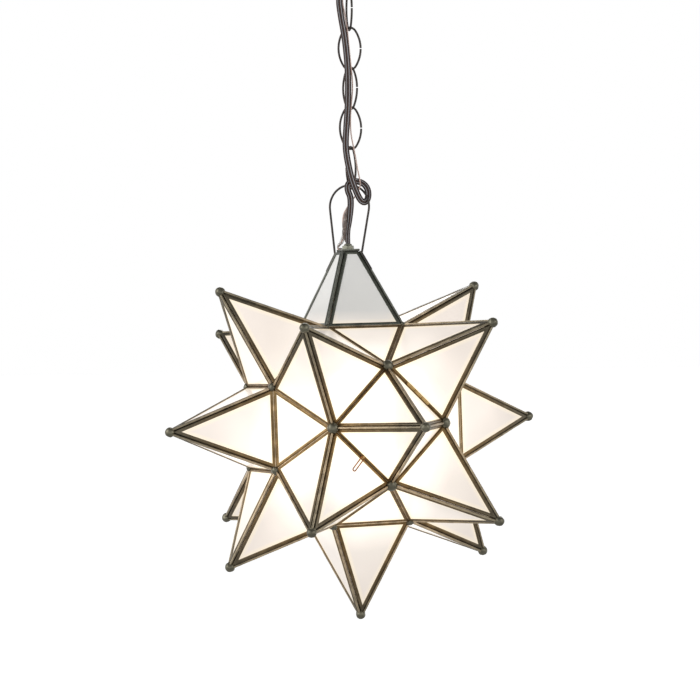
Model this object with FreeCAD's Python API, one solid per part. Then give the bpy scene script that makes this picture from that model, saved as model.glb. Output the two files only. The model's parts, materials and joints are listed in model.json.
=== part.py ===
import FreeCAD, Part
import math
import os
from FreeCAD import Placement, Rotation, Vector

# A glass star lamp on a chain. Millimetres, +Z up, the viewer towards -Y, and the origin at the
# centre of the ceiling fitting's face on the ceiling, straight above the whole chain.

# ---- star ----
STAR_SIDE = 74.0  # side of the square under each point
POINT_HEIGHT = 89.2  # a point's tip above its square
STUB_SIDE = 15.35  # side of the cut top point's end
STAR_TURN = 20.2  # degrees that the front point is turned to the viewer's right
STAR_LEAN = 1.4  # degrees that the star leans, away from the side that it hangs by

# ---- glass and its metal channels ----
GLASS_THICKNESS = 2.2
CHANNEL_DEPTH = 3.6  # through the pane
CHANNEL_FACE = 3.2  # width of the strip over the glass
CHANNEL_WEB = 0.7
CHANNEL_BEVEL = 0.6
GLASS_PLAY = 0.2  # glass edge to channel
SEAM_GAP = 0.05  # between neighbouring channels, and under what is soldered on them

# ---- solder ----
TIP_CAP_RADIUS = 4.5
TIP_CAP_HEIGHT = 5.6
JOINT_RADIUS = 3.8
JOINT_HEIGHT = 3.6
JOINT_LIFT = 1.1  # underside above the vertex where the middle planes of the panes meet

# ---- door: the front point, its hinge and its pull ----
KNUCKLE_RADIUS = 1.5
KNUCKLE_LENGTH = 9.0
KNUCKLE_GAP = 0.3
PIN_RADIUS = 0.6
PIN_PLAY = 0.05
PIN_HEAD_RADIUS = 1.1
PIN_HEAD_LENGTH = 0.8
EYELET_RADIUS = 1.35
EYELET_LENGTH = 1.5
EYELET_LIFT = 0.8  # eyelet above the channel that it overhangs
PULL_WIRE = 1.1
PULL_LENGTH = 16.0
PULL_WIDTH = 2.9  # between the centres of its two arms
PULL_REST_GAP = 0.1

# ---- top of the star ----
CAP_PLATE = 1.2
CAP_OVERHANG = 0.4
STEM_RADIUS = 3.8
STEM_BORE = 3.1
STEM_RISE = 1.4  # stem above the top nut
STEM_DROP = 46.0  # stem below the cap plate
THREAD_PLAY = 0.05
NUT_MARGIN = 5.35  # the nut's flats under the side of the cut end
NUT_HEIGHT = 4.2
GROUND_SCREW_SHANK = 1.2
GROUND_SCREW_NECK = 1.6  # room for the wire under its head
GROUND_SCREW_HEAD = 2.2
GROUND_SCREW_HEIGHT = 2.5
GROUND_SCREW_MARGIN = 1.975  # screw's axis to both sides of the cut end

# ---- bail ----
BAIL_WIRE = 2.0
BAIL_RADIUS = 19.95
BAIL_RISE = 61.0  # top of the bail's arch above the star's cut end
BAIL_SHIFT = 2.7  # the arch's centre is soldered this far off the star's axis
BAIL_KINK = 2.0  # the kink of each leg below the cut end
BAIL_FOOT = 15.5  # height of the foot that lies along the ridge
BAIL_LIFT = 1.0  # foot above the ridge line of the glass
HANG_SHIFT = 5.35  # where the last link holds the bail, off the star's axis

# ---- lamp holder and bulb ----
HOLDER_CAP_RADIUS = 17.5
HOLDER_CAP_HEIGHT = 18.0
HOLDER_WALL = 0.9
HOLDER_PLAY = 0.1
HOLDER_SHELL_LENGTH = 40.0
SCREW_SHELL_RADIUS = 14.2
SCREW_SHELL_LENGTH = 27.0
INSULATOR_HEIGHT = 7.0
BULB_BASE_RADIUS = 13.0
BULB_BASE_LENGTH = 24.0
BULB_NECK_RADIUS = 12.4
BULB_RADIUS = 29.5
BULB_LENGTH = 84.0  # glass below the base
BULB_WALL = 1.0

# ---- chain ----
LINK_LENGTH = 40.6
LINK_WIDTH = 22.4
LINK_WIRE = 2.0
LINK_END_RADIUS = 6.5
LINK_SEAM = 1.2  # the open butt joint in one side of each link
LINK_GAP = 0.1
LINK_TURNS = (-76.0, 0.0, -51.0, 15.5)  # from the ceiling down, before the last link
LINK_SEAM_SIDES = (1, 1, 1, 1, -1)

# ---- ceiling fitting ----
CANOPY_RADIUS = 63.5
CANOPY_DEPTH = 24.0
CANOPY_WALL = 1.2
CROSSBAR_LENGTH = 104.0
CROSSBAR_WIDTH = 16.0
CROSSBAR_THICKNESS = 2.0
CROSSBAR_HOLE_RADIUS = 2.4
CROSSBAR_HOLE_MARGIN = 7.55  # hole's axis to the end of the bar
NIPPLE_RADIUS = 4.85
NIPPLE_BORE = 3.5
NIPPLE_TOP = 0.4  # below the ceiling
LOCKNUT_FLATS = 14.0
LOCKNUT_HEIGHT = 3.0
COLLAR_RADIUS = 11.0
COLLAR_HEIGHT = 9.0
COLLAR_THREAD = 6.0
LOOP_WIRE = 3.4
LOOP_RADIUS = 7.7
LOOP_LEG = 7.0
LOOP_GAP = 0.1

# ---- cords ----
CORD_DIAMETER = 4.3  # round, with the section of a flat twin cord 5.6 wide and 2.8 thick
GROUND_WIRE = 1.3
BEND_SHARE = 0.45  # of the shorter run beside it that each bend takes up
CORD_ROUTE = [
    (-0.8, 0, -23),  # in the nipple
    (-0.8, 0, -33.5),
    (-1.8, -6, -43),
    (-9.8, -7.6, -54.1),
    (-7.7, -6.5, -72.7),
    (-4.5, -4.9, -90.3),
    (-2.4, -4.4, -110.7),
    (-1.6, -4.4, -129.3),
    (-2, -4.5, -152.5),
    (-3.7, -5.2, -173.8),
    (-4.9, -8.6, -189.6),
    (-3.9, -12.6, -201.2),  # in front of the last link
    (-2, -14.2, -211.9),
    (0.2, -14.4, -221.6),
    (3.2, -13.2, -230.9),
    (6.5, -9.9, -238.6),
    (9.4, -6.9, -243),
    (13.2, -4.3, -243.7),  # through the bail, round its shoulder and back over its top
    (15.7, -2.3, -239),
    (15.6, -1.2, -232.3),
    (12.9, -0.8, -227.3),
    (8.5, -0.6, -224.5),
    (3.7, -3.4, -223.8),
    (0, -8.4, -224.7),
    (-3.4, -10.6, -227.3),
    (-3.3, -10.4, -233.2),
    (-0.8, -8, -238.3),
    (-0.6, -5.2, -247.1),
    (-2, -1, -261),
    (-3.9, 1.8, -270.6),
    (-3.6, 1.7, -284.6),  # in the stem
    (-2.8, 1.7, -298.6),
    (-3, 1.4, -312.1),
    (-2.4, 1.7, -325.8),
    (-2.4, 1.1, -339.4),
]
CORD_CUT_INDEX = 11  # the run in front of the last link, where the chain's stretch ends
GROUND_ROUTE = [
    (2.4, 0, -23),  # in the nipple
    (2.4, 0, -33.5),
    (1.6, -7.4, -43),
    (-7.1, -4.6, -55),
    (-3.9, -3.8, -70.8),
    (-1.9, -3.4, -83.8),
    (-0.6, -2.2, -99.6),
    (1, -4.7, -117.4),
    (2.2, -3.4, -129.3),
    (2.3, -2.8, -141.3),
    (0.7, -4.6, -155.3),
    (-0.1, -3.2, -167.3),
    (0.2, -3, -181.2),
    (2.8, -3.2, -193.3),
    (4.6, -2.2, -203.5),
    (6.1, -2, -213.7),
    (7.8, -4.2, -221.6),
    (8.6, -6.4, -227.6),
    (6.9, -7.6, -232.6),
    (3.3, -4.6, -238.2),
    (-0.5, -2.4, -243.2),
    (-4.3, -3.4, -248.4),
    (-7.7, -3.2, -254.5),
    (-8.4, -1.8, -262),
    (-7.6, -0.6, -269.4),
    (-8.1, 1, -276.4),
    (-10, 2.4, -280.7),
    (-12.3, 3.2, -282.9),
    (-13.5, 2.9, -285.4),
    (-12.2, 3.1, -286.55),  # under the head of the ground screw
    (-9.7, 3.1, -286.55),
]
GROUND_CUT_INDEX = 14

# ---- smoothness of the round parts ----
TURNED_SIDES = 24
CANOPY_SIDES = 40
BULB_SIDES = 16
SMALL_SIDES = 16
WIRE_SIDES = 8
CAP_SIDES = 8
ARC_STEP = 24.0  # degrees
CONTACT_STEP = 14.5  # where one wire rests on another
BAIL_STEP = 10.0
CORD_STEP = 12.0

# ---- sizes that follow ----
CORE_HEIGHT = STAR_SIDE * (1 + math.sqrt(2)) / 2  # star centre to each square
TIP_HEIGHT = CORE_HEIGHT + POINT_HEIGHT
STUB_HEIGHT = POINT_HEIGHT * (1 - STUB_SIDE / STAR_SIDE)
NUT_FLATS = STUB_SIDE - NUT_MARGIN
GROUND_SCREW_OUT = STUB_SIDE / 2 - GROUND_SCREW_MARGIN
STUB_TOP = CORE_HEIGHT + STUB_HEIGHT
CROSSBAR_HOLE_SPACING = CROSSBAR_LENGTH - 2 * CROSSBAR_HOLE_MARGIN
PANE_SLOPE = math.atan2(POINT_HEIGHT, STAR_SIDE / 2)
RIDGE_HALF = math.acos(-math.cos(PANE_SLOPE) ** 2) / 2
VALLEY_HALF = math.radians(112.5) - PANE_SLOPE
FLAT_HALF = math.radians(107.632) - PANE_SLOPE / 2
TIP_HALF = math.atan2(STAR_SIDE / 2, math.hypot(POINT_HEIGHT, STAR_SIDE / 2))
PLATE_TOP = STUB_TOP + CAP_PLATE
NUT_TOP = PLATE_TOP + NUT_HEIGHT
STEM_BOTTOM = STUB_TOP - STEM_DROP
HOLDER_TOP = STEM_BOTTOM + 4.0

# The cube axes of the star: one square faces the front point, one faces up right, one up left.
HALF = math.sqrt(0.5)
STAR_AXES = (Vector(0, -1, 0), Vector(HALF, 0, HALF), Vector(-HALF, 0, HALF))

# Each point's direction, as signs along the three cube axes.
POINTS = {
    "high_right": (0, 1, 0),
    "high_left": (0, 0, 1),
    "upper_front_left": (1, 0, 1),
    "upper_front_right": (1, 1, 0),
    "upper_back_left": (-1, 0, 1),
    "upper_back_right": (-1, 1, 0),
    "left": (0, -1, 1),
    "right": (0, 1, -1),
    "back": (-1, 0, 0),
    "lower_front_left": (1, -1, 0),
    "lower_front_right": (1, 0, -1),
    "lower_back_left": (-1, -1, 0),
    "lower_back_right": (-1, 0, -1),
    "low_left": (0, -1, 0),
    "low_right": (0, 0, -1),
    "bottom": (0, -1, -1),
}
DOOR_SIGNS = (1, 0, 0)
STUB_SIGNS = (0, 1, 1)


# ---- helpers ----
def unit(vector):
    return Vector(vector).normalize()


def flat_face(points):
    return Part.Face(Part.makePolygon(points + points[:1]))


def skin(rings, closed=False):
    """A flat-faced solid through rings of points. closed joins the last ring to the first."""
    pairs = list(zip(rings, rings[1:]))
    faces = []
    if closed:
        pairs.append((rings[-1], rings[0]))
    else:
        faces = [flat_face(rings[0]), flat_face(rings[-1])]
    for near, far in pairs:
        for i in range(len(near)):
            j = (i + 1) % len(near)
            faces.append(flat_face([near[i], near[j], far[j], far[i]]))
    shell = Part.makeShell(faces)
    shell.sewShape()
    solid = Part.makeSolid(shell)
    if solid.Volume < 0:
        solid.reverse()
    return solid


def circle_points(radius, height, sides):
    steps = [2 * math.pi * (i + 0.5) / sides for i in range(sides)]
    return [Vector(radius * math.cos(t), radius * math.sin(t), height) for t in steps]


def turned(profile, sides=TURNED_SIDES, hollow=True):
    """A turned part from (radius, height) points; a hollow one's profile is a closed loop."""
    return skin([circle_points(r, z, sides) for r, z in profile], closed=hollow)


def tube(outer, inner, top, bottom, sides=TURNED_SIDES):
    return turned([(outer, top), (outer, bottom), (inner, bottom), (inner, top)], sides)


def hex_nut(flats, bore, bottom, height):
    outer = flats / math.sqrt(3)
    block = skin([circle_points(outer, bottom, 6), circle_points(outer, bottom + height, 6)])
    hole = turned([(bore, bottom - 1), (bore, bottom + height + 1)], hollow=False)
    return block.cut(hole)


def stand_along(shape, point, direction):
    """Puts a shape made about the Z axis at a point, with its Z along a direction."""
    shape.Placement = Placement(point, Rotation(Vector(0, 0, 1), direction))
    return shape


def wire_solid(points, diameter, closed=False):
    """A wire of flat-sided section along straight runs, mitred where they meet."""
    count = len(points)
    runs = [unit(points[(i + 1) % count] - points[i]) for i in range(count)]
    start = (points[0] + points[1]) * 0.5 if closed else points[0]
    square = Rotation(Vector(0, 0, 1), runs[0])
    section = [start + square.multVec(p) for p in circle_points(diameter / 2, 0, WIRE_SIDES)]
    rings = [] if closed else [section]
    stops = range(1, count + 1) if closed else range(1, count)
    for i in stops:
        along = runs[i - 1]
        last = not closed and i == count - 1
        plane = along if last else unit(along + runs[i % count])
        point = points[i % count]
        section = [c + along * ((point - c).dot(plane) / along.dot(plane)) for c in section]
        rings.append(section)
    return skin(rings, closed)


def arc_points(centre, radius, start, end, step=ARC_STEP):
    """Points on an arc in the XZ plane, angles in degrees from +X towards +Z."""
    count = max(2, round(abs(end - start) / step))
    angles = [math.radians(start + (end - start) * i / count) for i in range(count + 1)]
    return [centre + Vector(radius * math.cos(t), 0, radius * math.sin(t)) for t in angles]


def channel_inset(half_angle):
    """How far a channel's edge stays from the line where two panes' middle planes meet."""
    edge = CHANNEL_DEPTH / 2
    reach = max((edge - CHANNEL_BEVEL) / math.tan(half_angle), edge / math.tan(half_angle) - CHANNEL_BEVEL)
    return max(reach, 0) + SEAM_GAP


RIDGE_INSET = channel_inset(RIDGE_HALF)
VALLEY_INSET = channel_inset(VALLEY_HALF)
FLAT_INSET = channel_inset(FLAT_HALF)
STUB_INSET = channel_inset(PANE_SLOPE)


# ---- star panes ----
def inset_corner(before, corner, after, inset_before, inset_after):
    """The corner of a pane, moved in from the edge before it and from the edge after it."""
    back = unit(before - corner)
    ahead = unit(after - corner)
    sine = back.cross(ahead).Length
    return corner + back * (inset_after / sine) + ahead * (inset_before / sine)


def pane(corners, insets):
    """(glass, channel) of a pane between corners of the middle plane, an inset for each edge."""
    count = len(corners)
    normal = unit((corners[1] - corners[0]).cross(corners[2] - corners[0]))
    if normal.dot(corners[0]) < 0:
        normal = -normal

    def corner(k, inwards, outwards):
        before = insets[k - 1] + inwards
        after = insets[k] + inwards
        place = inset_corner(corners[k - 1], corners[k], corners[(k + 1) % count], before, after)
        return place + normal * outwards

    glass = GLASS_THICKNESS / 2
    edge = CHANNEL_DEPTH / 2
    seat = CHANNEL_WEB + GLASS_PLAY
    profile = [
        (CHANNEL_BEVEL, -edge),
        (CHANNEL_FACE, -edge),
        (CHANNEL_FACE, -glass),
        (CHANNEL_WEB, -glass),
        (CHANNEL_WEB, glass),
        (CHANNEL_FACE, glass),
        (CHANNEL_FACE, edge),
        (CHANNEL_BEVEL, edge),
        (0, edge - CHANNEL_BEVEL),
        (0, CHANNEL_BEVEL - edge),
    ]
    sheet = skin([[corner(k, seat, side) for k in range(count)] for side in (-glass, glass)])
    channel = skin([[corner(k, w, n) for w, n in profile] for k in range(count)], closed=True)
    return sheet, channel


def direction_of(signs):
    return unit(sum((a * s for a, s in zip(STAR_AXES, signs)), Vector()))


def sides_of(signs):
    """The four sides of a point's square: (direction, direction along it, base inset)."""
    used = [a * s for a, s in zip(STAR_AXES, signs) if s]
    free = [a for a, s in zip(STAR_AXES, signs) if not s]
    if len(used) == 1:
        one, two = free
        two_inset = VALLEY_INSET
    else:
        one = unit(used[0] - used[1])
        two = free[0]
        two_inset = FLAT_INSET
    return [
        (one, two, VALLEY_INSET),
        (-one, two, VALLEY_INSET),
        (two, one, two_inset),
        (-two, one, two_inset),
    ]


def point_panes(signs, top=None):
    """The four (glass, channel) pairs of a point, cut off at a height above its square or whole."""
    out = direction_of(signs)
    tip = out * TIP_HEIGHT
    made = []
    for facing, along, base_inset in sides_of(signs):
        middle = out * CORE_HEIGHT + facing * (STAR_SIDE / 2)
        one = middle - along * (STAR_SIDE / 2)
        two = middle + along * (STAR_SIDE / 2)
        if top is None:
            made.append(pane([one, two, tip], [base_inset, RIDGE_INSET, RIDGE_INSET]))
            continue
        share = top / POINT_HEIGHT
        corners = [one, two, two + (tip - two) * share, one + (tip - one) * share]
        made.append(pane(corners, [base_inset, RIDGE_INSET, STUB_INSET, RIDGE_INSET]))
    return made


def core_vertices(signs):
    """The three vertices of the flat pane in one octant, the long coordinate on each axis in turn."""
    near = STAR_SIDE / 2
    return [
        sum((a * (s * (CORE_HEIGHT if i == k else near)) for i, (a, s) in enumerate(zip(STAR_AXES, signs))), Vector())
        for k in range(3)
    ]


OCTANTS = [(i, j, k) for i in (1, -1) for j in (1, -1) for k in (1, -1)]


def flat_panes():
    return [pane(core_vertices(signs), [FLAT_INSET] * 3) for signs in OCTANTS]


def tip_cap(signs):
    """The solder cap on a tip, seated on the ends of the four channels."""
    along = math.sin(TIP_HALF)
    lean = math.pi / 2 - PANE_SLOPE
    edge = CHANNEL_DEPTH / 2 - CHANNEL_BEVEL
    drop = RIDGE_INSET / along * math.cos(lean) - edge * math.sin(lean) - SEAM_GAP
    rows = [(0.78, 0.0), (1.0, 0.36), (0.86, 0.75), (0.36, 1.0)]
    profile = [(TIP_CAP_RADIUS * r, TIP_CAP_HEIGHT * z) for r, z in rows]
    out = direction_of(signs)
    return stand_along(turned(profile, CAP_SIDES, False), out * (TIP_HEIGHT - drop), out)


def solder_joint(vertex):
    """The drop of solder where the channels of three points and a flat pane meet."""
    out = unit(vertex)
    rows = [(0.45, 0.0), (1.0, 0.45), (0.8, 0.8), (0.35, 1.0)]
    drop = turned([(JOINT_RADIUS * r, JOINT_HEIGHT * z) for r, z in rows], CAP_SIDES, False)
    return stand_along(drop, vertex + out * JOINT_LIFT, out)


# ---- door hinge and pull ----
def valley_frame(facing):
    """(middle of a side of the door's square, up the door's pane, up the neighbour's pane, along the side)."""
    out = direction_of(DOOR_SIGNS)
    middle = out * CORE_HEIGHT + facing * (STAR_SIDE / 2)
    door_way = unit(out * TIP_HEIGHT - middle)
    neighbour_tip = unit(out + facing) * TIP_HEIGHT
    return middle, door_way, unit(neighbour_tip - middle), unit(out.cross(facing))


def hinge_axis():
    """(point, direction) of the hinge pin, in the valley between the door and the point up right."""
    middle, door_way, star_way, along = valley_frame(STAR_AXES[1])
    off = (CHANNEL_DEPTH / 2 + KNUCKLE_RADIUS + SEAM_GAP) / math.sin(2 * VALLEY_HALF)
    return middle + door_way * off + star_way * off, along


def knuckles():
    """([the two knuckles on the star], the one on the door, the pin), about the Z axis."""
    step = KNUCKLE_LENGTH + KNUCKLE_GAP
    bore = PIN_RADIUS + PIN_PLAY
    made = []
    for k in (-1, 0, 1):
        middle = k * step
        made.append(tube(KNUCKLE_RADIUS, bore, middle + KNUCKLE_LENGTH / 2, middle - KNUCKLE_LENGTH / 2, SMALL_SIDES))
    half = step + KNUCKLE_LENGTH / 2
    neck = half + PIN_PLAY
    rows = [(PIN_RADIUS, -half), (PIN_RADIUS, neck), (PIN_HEAD_RADIUS, neck), (PIN_HEAD_RADIUS, neck + PIN_HEAD_LENGTH)]
    return [made[0], made[2]], made[1], turned(rows, SMALL_SIDES, False)


def pull_axis():
    """(point, along the axis, towards the loop's far end), above the side of the door opposite its hinge."""
    middle, door_way, star_way, along = valley_frame(-STAR_AXES[1])
    over_door = CHANNEL_DEPTH / 2 + EYELET_RADIUS + SEAM_GAP
    over_star = CHANNEL_DEPTH / 2 + EYELET_RADIUS + EYELET_LIFT
    point = middle + door_way * over_star + star_way * over_door
    fall = over_star - GLASS_THICKNESS / 2 - PULL_WIRE / 2 - PULL_REST_GAP
    tilt = math.asin(fall / PULL_LENGTH)
    return point, along, star_way * math.cos(tilt) - door_way * math.sin(tilt)


def pull_loop():
    """The closed wire loop, one end through the eyelet and the other round."""
    point, along, down = pull_axis()
    half = PULL_WIDTH / 2
    bend = PULL_WIRE / 2
    round_end = [(half * math.cos(t), PULL_LENGTH - half + half * math.sin(t)) for t in
                 (0.0, math.pi / 4, math.pi / 2, 3 * math.pi / 4, math.pi)]
    outline = [(half - bend, 0), (half, bend)] + round_end + [(-half, bend), (bend - half, 0)]
    return wire_solid([point + along * x + down * y for x, y in outline], PULL_WIRE, closed=True)


# ---- top of the star, bail ----
def cap_plate():
    side = STUB_SIDE + 2 * CAP_OVERHANG
    plate = Part.makeBox(side, side, CAP_PLATE, Vector(-side / 2, -side / 2, STUB_TOP))
    hole = turned([(STEM_RADIUS + THREAD_PLAY, STUB_TOP - 1), (STEM_RADIUS + THREAD_PLAY, PLATE_TOP + 1)],
                  hollow=False)
    return plate.cut(hole)


def stem_nuts():
    bore = STEM_RADIUS + THREAD_PLAY
    return [
        hex_nut(NUT_FLATS, bore, PLATE_TOP, NUT_HEIGHT),
        hex_nut(NUT_FLATS, bore, STUB_TOP - NUT_HEIGHT * 0.7, NUT_HEIGHT * 0.7),
    ]


def ground_screw():
    rows = [(GROUND_SCREW_SHANK, 0), (GROUND_SCREW_SHANK, GROUND_SCREW_NECK), (GROUND_SCREW_HEAD, GROUND_SCREW_NECK),
            (GROUND_SCREW_HEAD * 0.7, GROUND_SCREW_HEIGHT)]
    screw = turned(rows, SMALL_SIDES, False)
    screw.translate(Vector(-GROUND_SCREW_OUT, GROUND_SCREW_OUT, PLATE_TOP))
    return screw


BAIL_CENTRE = Vector(BAIL_SHIFT, 0, STUB_TOP + BAIL_RISE - BAIL_RADIUS)


def bail_point():
    """The bail's wire centre where the last link holds it, in the bail's own plane."""
    off = HANG_SHIFT - BAIL_SHIFT
    return Vector(HANG_SHIFT, 0, BAIL_CENTRE.z + math.sqrt(BAIL_RADIUS**2 - off**2))


def bail():
    """The bail in its own XZ plane: foot on a ridge, leg, arch, leg, foot."""
    kink_height = STUB_TOP - BAIL_KINK
    foot_height = kink_height - BAIL_FOOT
    ridge = STAR_SIDE * HALF / POINT_HEIGHT

    def on_ridge(height, side):
        return Vector(side * ((TIP_HEIGHT - height) * ridge + BAIL_LIFT), 0, height)

    ends, angles = [], []
    for side in (1, -1):
        kink = on_ridge(kink_height, side)
        away = kink - BAIL_CENTRE
        swing = math.degrees(math.acos(BAIL_RADIUS / away.Length))
        angles.append(math.degrees(math.atan2(away.z, away.x)) + side * swing)
        ends.append([on_ridge(foot_height, side), kink])
    arch = arc_points(BAIL_CENTRE, BAIL_RADIUS, angles[0], angles[1] + 360, BAIL_STEP)
    return wire_solid(ends[0] + arch + ends[1][::-1], BAIL_WIRE)


# ---- lamp holder and bulb, about the star's axis ----
def holder_cap():
    r = HOLDER_CAP_RADIUS
    t = HOLDER_WALL
    bore = STEM_RADIUS + THREAD_PLAY
    h = HOLDER_CAP_HEIGHT
    rows = [(bore, 0), (r * 0.4, 0), (r * 0.75, -h * 0.16), (r, -h * 0.5), (r, -h),
            (r - t, -h), (r - t, -h * 0.5 - t / 2), (r * 0.75 - t / 2, -h * 0.16 - t), (r * 0.4, -t), (bore, -t)]
    return turned([(a, HOLDER_TOP + b) for a, b in rows])


HOLDER_SEAT = HOLDER_TOP - HOLDER_CAP_HEIGHT * 0.55
INSULATOR_TOP = HOLDER_SEAT - HOLDER_PLAY
INSULATOR_BOTTOM = INSULATOR_TOP - INSULATOR_HEIGHT
SHELL_OUTER = HOLDER_CAP_RADIUS - HOLDER_WALL - HOLDER_PLAY
SHELL_INNER = SHELL_OUTER - HOLDER_WALL
BULB_BASE_TOP = INSULATOR_BOTTOM - HOLDER_PLAY
BULB_BASE_BOTTOM = BULB_BASE_TOP - BULB_BASE_LENGTH


def insulator():
    r = SHELL_INNER - HOLDER_PLAY
    return turned([(r, INSULATOR_BOTTOM), (r, INSULATOR_TOP)], hollow=False)


def bulb_base():
    r = BULB_BASE_RADIUS
    rows = [(r, BULB_BASE_BOTTOM), (r, BULB_BASE_TOP - 4), (r * 0.4, BULB_BASE_TOP - 1.5), (r * 0.25, BULB_BASE_TOP)]
    return turned(rows, hollow=False)


def bulb_glass():
    """The pear-shaped glass, open at the neck where it meets the base."""
    shares = [(0.0, 0.0), (0.06, 0.0), (0.2, 0.28), (0.38, 0.78), (0.55, 1.0), (0.72, 0.98), (0.87, 0.72), (0.97, 0.34),
              (1.0, 0.08)]
    gain = BULB_RADIUS - BULB_NECK_RADIUS

    def rows(wall):
        made = []
        for down, wide in shares:
            radius = BULB_NECK_RADIUS + gain * wide
            if down > 0.8:
                radius = BULB_RADIUS * wide
            deep = BULB_BASE_BOTTOM - BULB_LENGTH * down + (wall if down else -0.0)
            made.append((max(radius - wall, 1.0), deep))
        return made

    outer = rows(0)
    inner = rows(BULB_WALL)
    inner[0] = (BULB_NECK_RADIUS - BULB_WALL, BULB_BASE_BOTTOM + 1)
    return turned(outer, BULB_SIDES, False).cut(turned(inner, BULB_SIDES, False))


# ---- chain ----
def link_path():
    """The centre line of a link in the XZ plane: an oval of four arcs, open at the seam on +X."""
    half_length = (LINK_LENGTH - LINK_WIRE) / 2
    half_width = (LINK_WIDTH - LINK_WIRE) / 2
    r = LINK_END_RADIUS
    side = (half_width**2 + (half_length - r) ** 2 - r**2) / (2 * (half_width - r))
    meet = math.degrees(math.atan2(half_length - r, side - half_width))
    seam = math.degrees(math.asin(LINK_SEAM / 2 / side))
    right = Vector(half_width - side, 0, 0)
    left = Vector(side - half_width, 0, 0)
    upper = Vector(0, 0, half_length - r)
    lower = Vector(0, 0, r - half_length)
    pieces = [
        arc_points(right, side, seam, meet),
        arc_points(upper, r, meet, 180 - meet, CONTACT_STEP),
        arc_points(left, side, 180 - meet, 180 + meet),
        arc_points(lower, r, 180 + meet, 360 - meet, CONTACT_STEP),
        arc_points(right, side, -meet, -seam),
    ]
    path = pieces[0]
    for piece in pieces[1:]:
        path += piece[1:]
    return path


CANOPY_BOTTOM = -CANOPY_DEPTH
COLLAR_BOTTOM = CANOPY_BOTTOM - COLLAR_HEIGHT
LOOP_BOTTOM = COLLAR_BOTTOM - LOOP_LEG - LOOP_RADIUS  # centre of the loop's wire
LINK_PITCH = LINK_LENGTH - 2 * LINK_WIRE - LINK_GAP
FIRST_LINK_TOP = LOOP_BOTTOM + (LOOP_WIRE + LINK_WIRE) / 2 + LOOP_GAP
LINK_COUNT = len(LINK_TURNS) + 1


def link_top(k):
    """Height of the wire's centre at the top of link k, counted from 0."""
    return FIRST_LINK_TOP - k * LINK_PITCH


def link_bottom(k):
    return link_top(k) - LINK_LENGTH + LINK_WIRE


def link_turns():
    """Each link's turn about the vertical; the last one stands square to the bail."""
    return list(LINK_TURNS) + [STAR_TURN + 45.0]


def chain_link(k):
    path = [Vector(LINK_SEAM_SIDES[k] * p.x, 0, p.z) for p in link_path()]
    link = wire_solid(path, LINK_WIRE)
    middle = Vector(0, 0, (link_top(k) + link_bottom(k)) / 2)
    link.Placement = Placement(middle, Rotation(Vector(0, 0, 1), link_turns()[k]))
    return link


# ---- ceiling fitting ----
def canopy_shell():
    r = CANOPY_RADIUS
    d = CANOPY_DEPTH
    t = CANOPY_WALL
    bore = NIPPLE_RADIUS + THREAD_PLAY
    outer = [(r, 0), (r, -0.25 * d), (0.94 * r, -0.6 * d), (0.75 * r, -0.88 * d), (0.47 * r, -d), (bore, -d)]
    inner = [(bore, t - d), (0.47 * r - t / 4, t - d), (0.75 * r - t / 2, t - 0.88 * d), (0.94 * r - t, t / 2 - 0.6 * d),
             (r - t, -0.25 * d), (r - t, 0)]
    return turned(outer + inner, CANOPY_SIDES)


def crossbar():
    size = Vector(CROSSBAR_LENGTH, CROSSBAR_WIDTH, CROSSBAR_THICKNESS)
    bar = Part.makeBox(size.x, size.y, size.z, Vector(-size.x / 2, -size.y / 2, -size.z))
    bore = NIPPLE_RADIUS + THREAD_PLAY
    bar = bar.cut(turned([(bore, -size.z - 1), (bore, 1)], hollow=False))
    for side in (-1, 1):
        at = Vector(side * CROSSBAR_HOLE_SPACING / 2, 0, -size.z - 1)
        bar = bar.cut(Part.makeCylinder(CROSSBAR_HOLE_RADIUS, size.z + 2, at))
    return bar


def canopy_nipple():
    return tube(NIPPLE_RADIUS, NIPPLE_BORE, -NIPPLE_TOP, CANOPY_BOTTOM - COLLAR_THREAD)


def locknuts():
    bore = NIPPLE_RADIUS + THREAD_PLAY
    return [
        hex_nut(LOCKNUT_FLATS, bore, -CROSSBAR_THICKNESS - LOCKNUT_HEIGHT, LOCKNUT_HEIGHT),
        hex_nut(LOCKNUT_FLATS, bore, CANOPY_BOTTOM + CANOPY_WALL, LOCKNUT_HEIGHT),
    ]


def collar_loop():
    """The threaded collar under the canopy with the loop that carries the chain, square to link 0."""
    bore = NIPPLE_RADIUS + THREAD_PLAY
    collar = tube(COLLAR_RADIUS, bore, CANOPY_BOTTOM, COLLAR_BOTTOM)
    foot = COLLAR_BOTTOM + 1.0
    bow = Vector(0, 0, COLLAR_BOTTOM - LOOP_LEG)
    path = [Vector(LOOP_RADIUS, 0, foot)] + arc_points(bow, LOOP_RADIUS, 0, -180, CONTACT_STEP) + [Vector(-LOOP_RADIUS, 0, foot)]
    loop = collar.fuse(wire_solid(path, LOOP_WIRE))
    loop.rotate(Vector(), Vector(0, 0, 1), link_turns()[0] + 90)
    return loop


# ---- cords ----
def bend_route(points, name):
    """The points of straight runs and the tangent arcs between them; prints the arcs' radii."""
    path = [points[0]]
    radii = []
    for before, corner, after in zip(points, points[1:], points[2:]):
        back = before - corner
        ahead = after - corner
        turn = math.pi - back.getAngle(ahead)
        reach = BEND_SHARE * min(back.Length, ahead.Length)
        radius = reach / math.tan(turn / 2)
        radii.append(round(radius, 1))
        inwards = unit(unit(back) + unit(ahead))
        centre = corner + inwards * (radius / math.cos(turn / 2))
        start = corner + unit(back) * reach - centre
        sweep = Rotation(start.cross(corner + unit(ahead) * reach - centre), 0)
        steps = max(2, math.ceil(math.degrees(turn) / CORD_STEP))
        for k in range(steps + 1):
            sweep.Angle = turn * k / steps
            path.append(centre + sweep.multVec(start))
    path.append(points[-1])
    print(name, "radii", radii)
    return path


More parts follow.
